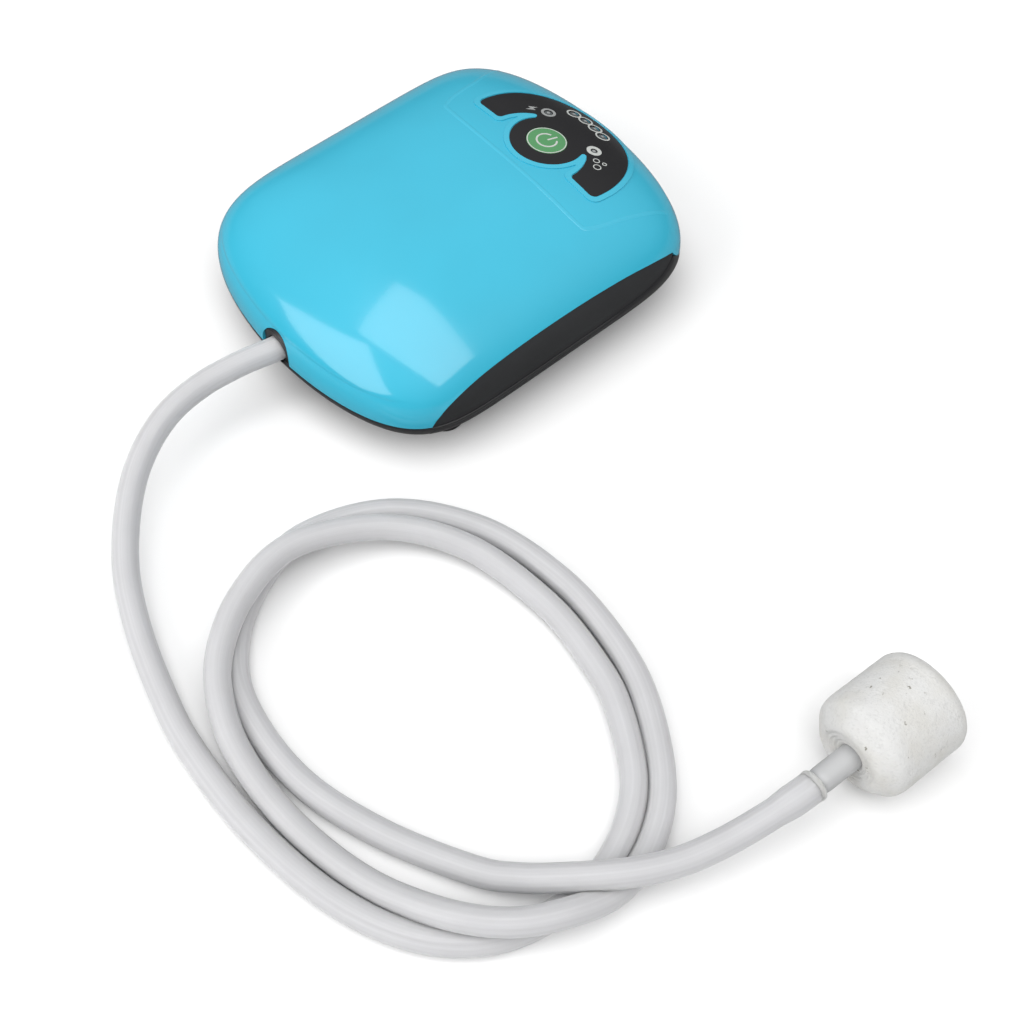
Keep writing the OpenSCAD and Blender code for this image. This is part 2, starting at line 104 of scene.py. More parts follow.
class Graph:
    """A material's node tree, built one node at a time around a Principled shader."""

    def __init__(self, name: str) -> None:
        """Starts an empty tree.

        Args:
            name: The material's name.
        """
        self.material = bpy.data.materials.new(name)
        self.material.use_nodes = True
        self.tree = self.material.node_tree
        self.tree.nodes.clear()
        output = self.add("ShaderNodeOutputMaterial")
        self.shader = self.add("ShaderNodeBsdfPrincipled")
        self.join(self.shader.outputs[0], output.inputs[0])
        self.place = self.add("ShaderNodeTexCoord").outputs["Object"]

    def add(self, kind: str, **settings: object) -> bpy.types.Node:
        """Adds a node.

        Args:
            kind: The node's Blender type name.
            settings: Properties of the node itself.

        Returns:
            The new node.
        """
        node = self.tree.nodes.new(kind)
        for key, value in settings.items():
            setattr(node, key, value)
        return node

    def join(self, source: bpy.types.NodeSocket, target: bpy.types.NodeSocket) -> None:
        """Links an output to an input."""
        self.tree.links.new(source, target)

    def feed(self, name: str, value: object) -> None:
        """Gives a Principled input a constant or a link.

        Args:
            name: The input's name.
            value: A number, a colour or an output socket.
        """
        socket = self.shader.inputs[name]
        if isinstance(value, bpy.types.NodeSocket):
            self.join(value, socket)
        elif isinstance(value, tuple) and len(value) == 3 and socket.type == "RGBA":
            socket.default_value = (*value, 1)
        else:
            socket.default_value = value

    def stretch(self, scale: Colour, place: bpy.types.NodeSocket | None = None) -> bpy.types.NodeSocket:
        """Scales the pattern's coordinates.

        Args:
            scale: Factor for each axis.
            place: Coordinates to scale, the object's own by default.

        Returns:
            The scaled coordinates.
        """
        node = self.add("ShaderNodeMapping")
        self.join(place or self.place, node.inputs["Vector"])
        node.inputs["Scale"].default_value = scale
        return node.outputs[0]

    def noise(self, size: float, detail: float = 3, twist: float = 0,
              place: bpy.types.NodeSocket | None = None, rough: float = 0.5) -> bpy.types.NodeSocket:
        """Adds cloudy noise.

        Args:
            size: Size of the largest clouds, in metres where the coordinates are.
            detail: Number of finer layers.
            twist: How far the clouds are pulled about.
            place: Coordinates, the object's own by default.
            rough: Weight of the finer layers.

        Returns:
            The noise, from 0 to 1.
        """
        node = self.add("ShaderNodeTexNoise")
        self.join(place or self.place, node.inputs["Vector"])
        node.inputs["Scale"].default_value = 1 / size
        node.inputs["Detail"].default_value = detail
        node.inputs["Roughness"].default_value = rough
        node.inputs["Distortion"].default_value = twist
        return node.outputs[0]

    def cells(self, size: float, feature: str = "F1",
              place: bpy.types.NodeSocket | None = None) -> bpy.types.Node:
        """Adds cells of about a size, and returns the Voronoi node."""
        node = self.add("ShaderNodeTexVoronoi", feature=feature)
        self.join(place or self.place, node.inputs["Vector"])
        node.inputs["Scale"].default_value = 1 / size
        return node

    def remap(self, value: bpy.types.NodeSocket, low: float, high: float,
              to_low: float, to_high: float) -> bpy.types.NodeSocket:
        """Maps a range of values to another, clamped at both ends.

        Args:
            value: The value to map.
            low: Start of its range.
            high: End of its range.
            to_low: Result at the start.
            to_high: Result at the end.

        Returns:
            The mapped value.
        """
        node = self.add("ShaderNodeMapRange")
        self.join(value, node.inputs["Value"])
        for name, number in (("From Min", low), ("From Max", high), ("To Min", to_low), ("To Max", to_high)):
            node.inputs[name].default_value = number
        return node.outputs[0]

    def sum(self, first: bpy.types.NodeSocket, second: bpy.types.NodeSocket,
            operation: str = "ADD") -> bpy.types.NodeSocket:
        """Combines two values with a Math operation."""
        node = self.add("ShaderNodeMath", operation=operation)
        self.join(first, node.inputs[0])
        self.join(second, node.inputs[1])
        return node.outputs[0]

    def blend(self, share: bpy.types.NodeSocket, first: object, second: object) -> bpy.types.NodeSocket:
        """Mixes two colours.

        Args:
            share: How much of the second shows.
            first: A colour or a colour output.
            second: A colour or a colour output.

        Returns:
            The mixed colour.
        """
        node = self.add("ShaderNodeMix", data_type="RGBA")
        self.join(share, node.inputs["Factor"])
        for index, value in ((6, first), (7, second)):
            if isinstance(value, bpy.types.NodeSocket):
                self.join(value, node.inputs[index])
            else:
                node.inputs[index].default_value = (*value, 1)
        return node.outputs[2]

    def bump(self, height: bpy.types.NodeSocket, depth: float, strength: float = 1.0) -> None:
        """Raises the surface by a pattern, after any bump already there.

        Args:
            height: The pattern, from 0 to 1.
            depth: Height of the pattern in metres.
            strength: Share of it that shows.
        """
        node = self.add("ShaderNodeBump")
        self.join(height, node.inputs["Height"])
        node.inputs["Distance"].default_value = depth
        node.inputs["Strength"].default_value = strength
        socket = self.shader.inputs["Normal"]
        if socket.links:
            self.join(socket.links[0].from_socket, node.inputs["Normal"])
        self.join(node.outputs[0], socket)


@dataclass(frozen=True)
class Finish:
    """A finish of one base colour, which each kind of finish adds its own detail to."""

    name: str
    colour: Colour
    roughness: float = 0.4

    def dress(self) -> bpy.types.Material:
        """Returns the finish's material, made on first use."""
        known = bpy.data.materials.get(self.name)
        if known:
            return known
        graph = Graph(self.name)
        graph.feed("Base Color", self.colour)
        graph.feed("Roughness", self.roughness)
        graph.material.diffuse_color = (*self.colour, 1)
        self.detail(graph)
        return graph.material

    def detail(self, graph: Graph) -> None:
        """Adds the finish's own nodes to its graph."""

    def tone(self, graph: Graph, size: float, spread: float) -> bpy.types.NodeSocket:
        """Varies the base colour in soft clouds.

        Args:
            graph: The finish's graph.
            size: Size of the clouds in metres.
            spread: Share by which the colour goes up and down.

        Returns:
            The varied colour.
        """
        low = tuple(c * (1 - spread) for c in self.colour)
        high = tuple(min(1, c * (1 + spread)) for c in self.colour)
        return graph.blend(graph.remap(graph.noise(size), 0.3, 0.7, 0, 1), low, high)


@dataclass(frozen=True)
class GlossPlastic(Finish):
    """Polished moulded plastic: faint flow clouds, hazy patches, fine swirl scratches and dust."""

    peel: float = 6e-6
    flow: float = 0.03

    def detail(self, graph: Graph) -> None:
        """Adds clouds of colour, uneven gloss, orange peel and hairline scratches."""
        base = self.tone(graph, 0.03, self.flow)
        speck = graph.remap(graph.cells(0.0045).outputs["Distance"], 0.0, 0.018, 1, 0)
        rare = graph.remap(graph.noise(0.008, 1), 0.62, 0.68, 0, 1)
        dust = graph.sum(speck, rare, "MULTIPLY")
        graph.feed("Base Color", graph.blend(dust, base, (0.75, 0.85, 0.88)))
        haze = graph.remap(graph.noise(0.018, 4, 0.6), 0.35, 0.75, self.roughness, self.roughness * 1.5)
        graph.feed("Roughness", haze)
        graph.feed("Specular IOR Level", 0.5)
        graph.feed("Coat Weight", 0.25)
        graph.feed("Coat Roughness", 0.04)
        graph.bump(graph.noise(0.0022, 2), self.peel, 0.5)
        hair = graph.noise(0.0006, 2, 0.2, graph.stretch((1, 0.03, 1)))
        graph.bump(graph.remap(hair, 0.62, 0.66, 0, 1), 1.5e-6, 0.25)


@dataclass(frozen=True)
class SparkPlastic(Finish):
    """Moulded plastic with a spark-eroded grain, polished a little where it is handled."""

    grain: float = 0.00022
    depth: float = 1.6e-5

    def detail(self, graph: Graph) -> None:
        """Adds the grain, rubbed patches and a slight clouding of the colour."""
        graph.feed("Base Color", self.tone(graph, 0.012, 0.10))
        rub = graph.remap(graph.noise(0.02, 3), 0.35, 0.7, self.roughness, self.roughness * 1.25)
        graph.feed("Roughness", rub)
        graph.bump(graph.noise(self.grain, 3, 0, None, 0.7), self.depth, 0.6)
        graph.bump(graph.noise(0.0025, 2), 1.2e-5, 0.3)


@dataclass(frozen=True)
class FilmPrint(Finish):
    """A printed polyester film with a fine velvet texture."""

    def detail(self, graph: Graph) -> None:
        """Adds the fine texture, ink density and a satin gloss."""
        graph.feed("Base Color", self.tone(graph, 0.006, 0.08))
        gloss = graph.remap(graph.noise(0.009, 3), 0.3, 0.7, self.roughness * 0.85, self.roughness * 1.2)
        graph.feed("Roughness", gloss)
        graph.feed("Specular IOR Level", 0.38)
        graph.bump(graph.noise(0.00018, 2), 4e-6, 0.6)
        graph.bump(graph.noise(0.004, 2), 1e-5, 0.25)


@dataclass(frozen=True)
class Ink(Finish):
    """Screen-printed ink: slightly uneven cover with a soft screen grain."""

    def detail(self, graph: Graph) -> None:
        """Adds uneven density and the grain of the screen."""
        worn = tuple(c * 0.82 for c in self.colour)
        thin = graph.remap(graph.noise(0.0005, 4), 0.42, 0.7, 0, 0.8)
        graph.feed("Base Color", graph.blend(thin, self.colour, worn))
        graph.bump(graph.noise(0.00015, 1), 4e-6, 0.5)


@dataclass(frozen=True)
class MilkyVinyl(Finish):
    """Soft clear vinyl with a milky body: die lines along it, pale lengthwise streaks of painted light from
    the bore, and a painted lighter rim where it turns away from the camera.
    """

    # edge is the painted rim light: the paler colour the vinyl is painted towards where its surface turns
    # away from the camera.
    edge: Colour = (0.66, 0.66, 0.665)

    def detail(self, graph: Graph) -> None:
        """Adds the milky depth, lengthwise die lines and bloom, and the painted light: pale streaks for light
        refracted through the bore and a lighter rim at grazing angles.
        """
        around = graph.add("ShaderNodeUVMap").outputs[0]
        lines = graph.noise(1.0, 4, 0.1, graph.stretch((1.2, 26, 1), around))
        cloud = graph.noise(0.011, 3, 0.4)
        rim = graph.add("ShaderNodeLayerWeight")
        rim.inputs["Blend"].default_value = 0.42
        # Painted rim light: Layer Weight's Facing blends the body towards the paler edge colour at grazing
        # angles.
        painted_rim_light = graph.remap(rim.outputs["Facing"], 0.45, 0.95, 0, 0.75)
        # Painted bore light: the pale lengthwise streaks stand in for light refracted through the hose's
        # bore; the same lines also give the die-line bump.
        painted_bore_light = graph.remap(lines, 0.38, 0.62, 0, 0.7)
        pale = tuple(min(1, c * 1.12) for c in self.colour)
        body = graph.blend(painted_bore_light, self.colour, pale)
        dull = tuple(c * 0.88 for c in self.colour)
        body = graph.blend(graph.remap(cloud, 0.35, 0.75, 0, 0.25), body, dull)
        graph.feed("Base Color", graph.blend(painted_rim_light, body, self.edge))
        graph.feed("Subsurface Weight", 1.0)
        graph.feed("Subsurface Radius", (1.0, 1.0, 1.05))
        graph.feed("Subsurface Scale", 0.005)
        graph.feed("Specular IOR Level", 0.35)
        gloss = graph.remap(graph.noise(0.01, 3), 0.3, 0.7, self.roughness * 0.8, self.roughness * 1.3)
        graph.feed("Roughness", gloss)
        graph.bump(lines, 3e-5, 0.35)
        graph.bump(cloud, 4e-5, 0.2)


@dataclass(frozen=True)
class Mineral(Finish):
    """Bonded mineral grains: a sandy skin, pits and a few dark specks."""

    speck: Colour = (0.16, 0.15, 0.12)

    def detail(self, graph: Graph) -> None:
        """Adds grains, pits, warm clouds and dark specks."""
        warm = tuple(c * k for c, k in zip(self.colour, (0.93, 0.915, 0.88)))
        body = graph.blend(graph.remap(graph.noise(0.006, 4), 0.4, 0.68, 0, 0.8), self.colour, warm)
        grit = graph.cells(0.00042)
        tint = graph.add("ShaderNodeSeparateColor")
        graph.join(grit.outputs["Color"], tint.inputs[0])
        shaded = tuple(c * 0.78 for c in self.colour)
        body = graph.blend(graph.remap(tint.outputs[0], 0.7, 1, 0, 0.35), body, shaded)
        spots = graph.cells(0.0016)
        pick = graph.add("ShaderNodeSeparateColor")
        graph.join(spots.outputs["Color"], pick.inputs[0])
        near = graph.remap(graph.sum(spots.outputs["Distance"], graph.noise(0.0005, 2)), 0.64, 0.72, 1, 0)
        rare = graph.remap(pick.outputs[1], 0.84, 0.86, 0, 1)
        patch = graph.remap(graph.noise(0.009, 2), 0.50, 0.56, 0, 0.8)
        dark = graph.sum(graph.sum(near, rare, "MULTIPLY"), patch, "MULTIPLY")
        graph.feed("Base Color", graph.blend(dark, body, self.speck))
        graph.feed("Specular IOR Level", 0.25)
        graph.bump(grit.outputs["Distance"], 1.2e-4, 0.45)
        graph.bump(graph.noise(0.0012, 5, 0, None, 0.65), 2.5e-4, 0.55)
        graph.bump(graph.remap(graph.noise(0.0028, 2), 0.28, 0.4, 0, 1), 2e-4, 0.5)


@dataclass(frozen=True)
class SoftRubber(Finish):
    """Dull rubber with a bloom and fine creases."""

    def detail(self, graph: Graph) -> None:
        """Adds the bloom and a fine skin."""
        bloom = graph.remap(graph.noise(0.004, 4), 0.45, 0.75, 0, 0.5)
        graph.feed("Base Color", graph.blend(bloom, self.colour, tuple(c * 1.9 + 0.01 for c in self.colour)))
        graph.bump(graph.noise(0.0004, 4), 2e-5, 0.6)


@dataclass(frozen=True)
class Metal(Finish):
    """Drawn or plated metal with fine lines along one axis and a little tarnish."""

    lines: Colour = (1, 1, 0.06)

    def detail(self, graph: Graph) -> None:
        """Adds the drawn lines and tarnish."""
        graph.feed("Metallic", 1.0)
        grain = graph.noise(0.0004, 3, 0, graph.stretch(self.lines))
        stain = graph.remap(graph.noise(0.005, 4), 0.45, 0.75, 0, 0.5)
        graph.feed("Base Color", graph.blend(stain, self.colour, tuple(c * 0.72 for c in self.colour)))
        graph.feed("Roughness", graph.remap(grain, 0.3, 0.7, self.roughness * 0.75, self.roughness * 1.4))
        graph.bump(grain, 6e-6, 0.5)


@dataclass(frozen=True)
class Winding(Finish):
    """Enamelled copper wire wound side by side."""

    pitch: float = 0.00034

    def detail(self, graph: Graph) -> None:
        """Adds the turns of wire across the coil and a few crossed strands."""
        graph.feed("Metallic", 0.85)
        wave = graph.add("ShaderNodeTexWave", bands_direction="Z")
        graph.join(graph.place, wave.inputs["Vector"])
        wave.inputs["Scale"].default_value = 1 / (self.pitch * 3.18)
        wave.inputs["Distortion"].default_value = 0.4
        turns = wave.outputs["Fac"]
        # The dark bands between the turns are painted shade in the grooves between the wires.
        dark = tuple(c * 0.35 for c in self.colour)
        graph.feed("Base Color", graph.blend(graph.remap(turns, 0.0, 0.6, 0, 1), dark, self.colour))
        graph.bump(turns, self.pitch * 0.4, 1.0)


@dataclass(frozen=True)
class BoardMask(Finish):
    """Solder mask over tracks and pads."""

    track: Colour = (0.10, 0.33, 0.14)

    def detail(self, graph: Graph) -> None:
        """Adds raised tracks, bare pads and the gloss of the mask."""
        grid = graph.cells(0.0021, "DISTANCE_TO_EDGE")
        tracks = graph.remap(grid.outputs["Distance"], 0.04, 0.07, 1, 0)
        colour = graph.blend(tracks, self.colour, self.track)
        pads = graph.remap(graph.cells(0.0027).outputs["Distance"], 0.14, 0.17, 1, 0)
        graph.feed("Base Color", graph.blend(pads, colour, (0.72, 0.66, 0.50)))
        graph.feed("Coat Weight", 0.6)
        graph.bump(tracks, 2e-5, 0.8)


@dataclass(frozen=True)
class ShrinkWrap(Finish):
    """Shrink sleeve with stretch wrinkles near its ends."""

    def detail(self, graph: Graph) -> None:
        """Adds wrinkles and a clouded gloss."""
        graph.feed("Base Color", self.tone(graph, 0.01, 0.12))
        crease = graph.noise(0.005, 5, 1.2, graph.stretch((0.35, 1.6, 1)))
        graph.feed("Coat Weight", 0.5)
        graph.bump(crease, 2e-4, 0.5)


@dataclass(frozen=True)
class OpenFoam(Finish):
    """Open-cell foam."""

    def detail(self, graph: Graph) -> None:
        """Adds the open cells."""
        pores = graph.cells(0.0008).outputs["Distance"]
        # The dark pores are painted shade inside the open cells.
        dark = tuple(c * 0.3 for c in self.colour)
        graph.feed("Base Color", graph.blend(graph.remap(pores, 0.1, 0.5, 0, 1), dark, self.colour))
        graph.bump(pores, 4e-4, 1.0)


@dataclass(frozen=True)
class ClearTint(Finish):
    """Clear or tinted plastic that light goes through."""

    through: float = 0.75

    def detail(self, graph: Graph) -> None:
        """Adds depth and a slightly uneven face."""
        graph.feed("Transmission Weight", self.through)
        graph.feed("IOR", 1.49)
        graph.feed("Base Color", self.tone(graph, 0.002, 0.08))
        graph.bump(graph.noise(0.0008, 2), 1e-5, 0.3)


@dataclass(frozen=True)
class Backdrop(Finish):
    """Matt studio paper, all but even."""

    def detail(self, graph: Graph) -> None:
        """Adds a faint fibre to the paper, and keeps the paper dim in anything glossy that mirrors it."""
        plain = self.tone(graph, 0.4, 0.004)
        path = graph.add("ShaderNodeLightPath").outputs["Is Glossy Ray"]
        graph.feed("Base Color", graph.blend(path, plain, (0.22, 0.22, 0.22)))
        graph.feed("Specular IOR Level", 0.0)


COVER_BLUE = GlossPlastic("cover_blue", (0.036, 0.400, 0.560), 0.12)
# A paler copy of the cover blue for the raised land and the recess line: painted light for the light these
# low ridges catch.
LAND_BLUE_PAINTED_LIGHT = GlossPlastic("cover_blue_land_painted_light", (0.044, 0.415, 0.575), 0.15)
SHELL_LIP = SparkPlastic("shell_satin", (0.013, 0.013, 0.0145), 0.30, 0.00035, 6e-6)
SHELL_MATT = SparkPlastic("shell_matt", (0.0155, 0.0165, 0.0185), 0.6)
FILM_BLACK = FilmPrint("panel_film_black", (0.0085, 0.0085, 0.010), 0.34)
GREEN_PRINT = FilmPrint("button_green", (0.062, 0.235, 0.085), 0.36)
PALE_INK = Ink("ink_pale", (0.50, 0.52, 0.50), 0.5)
GREY_INK = Ink("ink_grey", (0.30, 0.31, 0.31), 0.5)
LAMP_WINDOW = ClearTint("lamp_window", (0.09, 0.10, 0.105), 0.3, 0.08)
HOSE_VINYL = MilkyVinyl("hose_milky", (0.47, 0.47, 0.478), 0.46)
# A paler copy of the hose vinyl for the turned-over rim at the stone: a painted highlight for the bright ring
# its edge shows.
RIM_VINYL_PAINTED_HIGHLIGHT = MilkyVinyl("hose_rim_milky_painted_highlight", (0.58, 0.58, 0.585), 0.35)
STEM_WHITE = GlossPlastic("stem_milky", (0.43, 0.433, 0.438), 0.35, 1.2e-5, 0.04)
STONE_WHITE = Mineral("stone_mineral", (0.59, 0.59, 0.583), 0.92)
FOOT_RUBBER = SoftRubber("foot_rubber", (0.016, 0.016, 0.017), 0.75)
SCREW_STEEL = Metal("screw_plated", (0.62, 0.61, 0.58), 0.28)
PAPER = Backdrop("studio_paper", (0.84, 0.84, 0.84), 0.9)

SLOT_FINISHES: dict[Slot, Finish] = {
    Slot.COVER: COVER_BLUE,
    Slot.SHELL: SHELL_MATT,
    Slot.FILM: FILM_BLACK,
    Slot.BUTTON: GREEN_PRINT,
    Slot.CLEAR: LAMP_WINDOW,
    Slot.BOARD: BoardMask("board_mask", (0.012, 0.13, 0.055), 0.25),
    Slot.BLACK: SparkPlastic("inner_black", (0.018, 0.018, 0.019), 0.45),
    Slot.WHITE: SparkPlastic("inner_ivory", (0.66, 0.65, 0.60), 0.42),
    Slot.RUBBER: FOOT_RUBBER,
    Slot.STEEL: Metal("core_steel", (0.42, 0.42, 0.44), 0.42, (0.06, 1, 1)),
    Slot.PLATED: SCREW_STEEL,
    Slot.COPPER: Winding("coil_copper", (0.70, 0.30, 0.12), 0.30),
    Slot.CELL: ShrinkWrap("cell_sleeve", (0.07, 0.16, 0.48), 0.30),
    Slot.FOAM: OpenFoam("filter_foam", (0.10, 0.12, 0.10), 0.95),
    Slot.WIRE: GlossPlastic("wire_sleeve", (0.50, 0.02, 0.02), 0.35, 2e-5, 0.05),
    Slot.HOSE: HOSE_VINYL,
    Slot.STONE: STONE_WHITE,
}


# ---------------------------------------------------------------- making pieces


def finish_mesh(mesh: bpy.types.Mesh, angle: float = 32.0) -> None:
    """Shades a mesh smooth, apart from edges sharper than an angle in degrees."""
    bm = bmesh.new()
    bm.from_mesh(mesh)
    for face in bm.faces:
        face.smooth = True
    limit = math.radians(angle)
    for edge in bm.edges:
        edge.smooth = not edge.is_manifold or edge.calc_face_angle(0.0) < limit
    bm.to_mesh(mesh)
    bm.free()


def add_piece(name: str, source: object, finish: Finish, body: str = "casing",
              replaces: tuple[str, ...] = (), angle: float = 32.0) -> bpy.types.Object:
    """Makes an object of a mesh or bmesh, dresses it and gives it its body.

    Args:
        name: The piece's name.
        source: A bmesh, which is freed, or a mesh.
        finish: Its finish.
        body: The CAD body it rides on.
        replaces: CAD nodes it stands for.
        angle: Sharpest smooth edge in degrees.

    Returns:
        The new object.
    """
    if isinstance(source, bmesh.types.BMesh):
        mesh = bpy.data.meshes.new(name)
        source.to_mesh(mesh)
        source.free()
        finish_mesh(mesh, angle)
    else:
        mesh = source
        mesh.name = name
    piece = bpy.data.objects.new(name, mesh)
    bpy.context.scene.collection.objects.link(piece)
    mesh.materials.clear()
    mesh.materials.append(finish.dress())
    if body:
        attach(piece, body)
    if replaces:
        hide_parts(*replaces)
    LOG.info("%s: %d faces", name, len(mesh.polygons))
    return piece


def close_up(bm: bmesh.types.BMesh, distance: float = 1e-6) -> None:
    """Merges doubles and turns every face outwards."""
    bmesh.ops.remove_doubles(bm, verts=bm.verts, dist=distance)
    bmesh.ops.recalc_face_normals(bm, faces=bm.faces)


def loose_object(name: str, bm: bmesh.types.BMesh) -> bpy.types.Object:
    """Makes a bare helper object of a bmesh, which is freed."""
    mesh = bpy.data.meshes.new(name)
    bm.to_mesh(mesh)
    bm.free()
    helper = bpy.data.objects.new(name, mesh)
    bpy.context.scene.collection.objects.link(helper)
    return helper


def baked(helper: bpy.types.Object, *others: bpy.types.Object) -> bpy.types.Mesh:
    """Applies an object's modifiers to a new mesh, and removes the object and its cutters.

    Args:
        helper: The object with modifiers.
        others: Objects that only the modifiers needed.

    Returns:
        The finished mesh.
    """
    graph = bpy.context.evaluated_depsgraph_get()
    graph.update()
    mesh = bpy.data.meshes.new_from_object(helper.evaluated_get(graph))
    for old in (helper, *others):
        bpy.data.objects.remove(old, do_unlink=True)
    return mesh


def thicken(helper: bpy.types.Object, thickness: float) -> None:
    """Gives a surface a wall on its inner side."""
    wall = helper.modifiers.new("wall", "SOLIDIFY")
    wall.thickness, wall.offset, wall.use_even_offset = thickness, -1, False


def round_edges(helper: bpy.types.Object, width: float, segments: int, angle: float) -> None:
    """Rounds the edges of a helper that are sharper than an angle in degrees."""
    edge = helper.modifiers.new("edge", "BEVEL")
    edge.width, edge.segments = width, segments
    edge.limit_method, edge.angle_limit = "ANGLE", math.radians(angle)


def drill(helper: bpy.types.Object, cutter: bpy.types.Object, use_self: bool = False) -> None:
    """Cuts a cutter out of a helper, where use_self is for a cutter that crosses itself."""
    hole = helper.modifiers.new("holes", "BOOLEAN")
    hole.object, hole.operation, hole.solver = cutter, "DIFFERENCE", "EXACT"
    hole.use_self = use_self


def cylinder(bm: bmesh.types.BMesh, radius: float, low: float, high: float, at: Matrix,
             sides: int = 48, top: float | None = None) -> list[bmesh.types.BMVert]:
    """Adds a closed cylinder or cone along its own Z.

    Args:
        bm: The bmesh to add to.
        radius: Radius at its low end.
        low: Its low end along its own Z.
        high: Its high end.
        at: Where it stands.
        sides: Number of sides.
        top: Radius at its high end, the same by default.

    Returns:
        Its vertices.
    """
    place = at @ Matrix.Translation((0, 0, (low + high) / 2))
    made = bmesh.ops.create_cone(bm, cap_ends=True, segments=sides, radius1=radius,
                                 radius2=radius if top is None else top, depth=high - low, matrix=place)
    return made["verts"]


def turned(profile: list[tuple[float, float]], at: Matrix, sides: int = 96) -> bmesh.types.BMesh:
    """Spins a profile of (radius, height) about its own Z into a closed solid.

    Args:
        profile: Its points from one end of the axis to the other.
        at: Where it stands.
        sides: Number of sides.

    Returns:
        The solid.
    """
    bm = bmesh.new()
    verts = [bm.verts.new((r, 0, h)) for r, h in profile]
    edges = [bm.edges.new(pair) for pair in zip(verts, verts[1:])]
    bmesh.ops.spin(bm, geom=verts + edges, axis=(0, 0, 1), cent=(0, 0, 0), angle=math.tau,
                   steps=sides, use_merge=True)
    close_up(bm)
    bmesh.ops.transform(bm, matrix=at, verts=bm.verts)
    return bm


def rounded_profile(corners: list[tuple[float, float, float]], steps: int = 5) -> list[tuple[float, float]]:
    """Rounds the corners of a profile.

    Args:
        corners: (radius, height, rounding) for each corner, the ends left sharp.
        steps: Points on each rounding.

    Returns:
        The profile's points.
    """
    points = [corners[0][:2]]
    for before, (x, y, r), after in zip(corners, corners[1:], corners[2:]):
        here = Vector((x, y))
        back, ahead = Vector(before[:2]) - here, Vector(after[:2]) - here
        cut = min(r, back.length * 0.48, ahead.length * 0.48)
        if cut <= 0:
            points.append((x, y))
            continue
        start, end = here + back.normalized() * cut, here + ahead.normalized() * cut
        for i in range(steps + 1):
            t = i / steps
            spot = start.lerp(here, t).lerp(here.lerp(end, t), t)
            points.append((spot.x, spot.y))
    return points + [corners[-1][:2]]


def catmull(points: list[Vector], step: float) -> list[Vector]:
    """Puts close points on a smooth curve through a few.

    Args:
        points: The points the curve goes through.
        step: Longest distance between two of the new points.

    Returns:
        The close points, first and last included.
    """
    out = []
    for i in range(len(points) - 1):
        a, b = points[max(i - 1, 0)], points[i]
        c, d = points[i + 1], points[min(i + 2, len(points) - 1)]
        count = max(1, math.ceil((c - b).length / step))
        for j in range(count):
            t = j / count
            out.append(0.5 * (2 * b + (c - a) * t + (2 * a - 5 * b + 4 * c - d) * t * t
                              + (3 * b - 3 * c + d - a) * t ** 3))
    return out + [points[-1].copy()]


def sweep(bm: bmesh.types.BMesh, course: list[Vector], ups: list[Vector], section: list[tuple[float, float]],
          closed: bool) -> None:
    """Sweeps a closed section along a course.

    Args:
        bm: The bmesh to add to.
        course: The course's points.
        ups: The section's own up direction at each of them.
        section: Points of the section as (sideways, up).
        closed: Whether the course comes back to its start.
    """
    count = len(course)
    loops = []
    for i, (here, up) in enumerate(zip(course, ups)):
        before = course[i - 1] if i or closed else here
        after = course[(i + 1) % count] if i < count - 1 or closed else here
        side = (after - before).cross(up).normalized()
        ring = [bm.verts.new(here + side * s + up * u) for s, u in section]
        loops.append([bm.edges.new((ring[j], ring[(j + 1) % len(ring)])) for j in range(len(ring))])
    pairs = list(zip(loops, loops[1:])) + ([(loops[-1], loops[0])] if closed else [])
    for first, second in pairs:
        bmesh.ops.bridge_loops(bm, edges=first + second)
    if not closed:
        for loop in (loops[0], loops[-1]):
            bmesh.ops.contextual_create(bm, geom=loop)


# ---------------------------------------------------------------- the studio


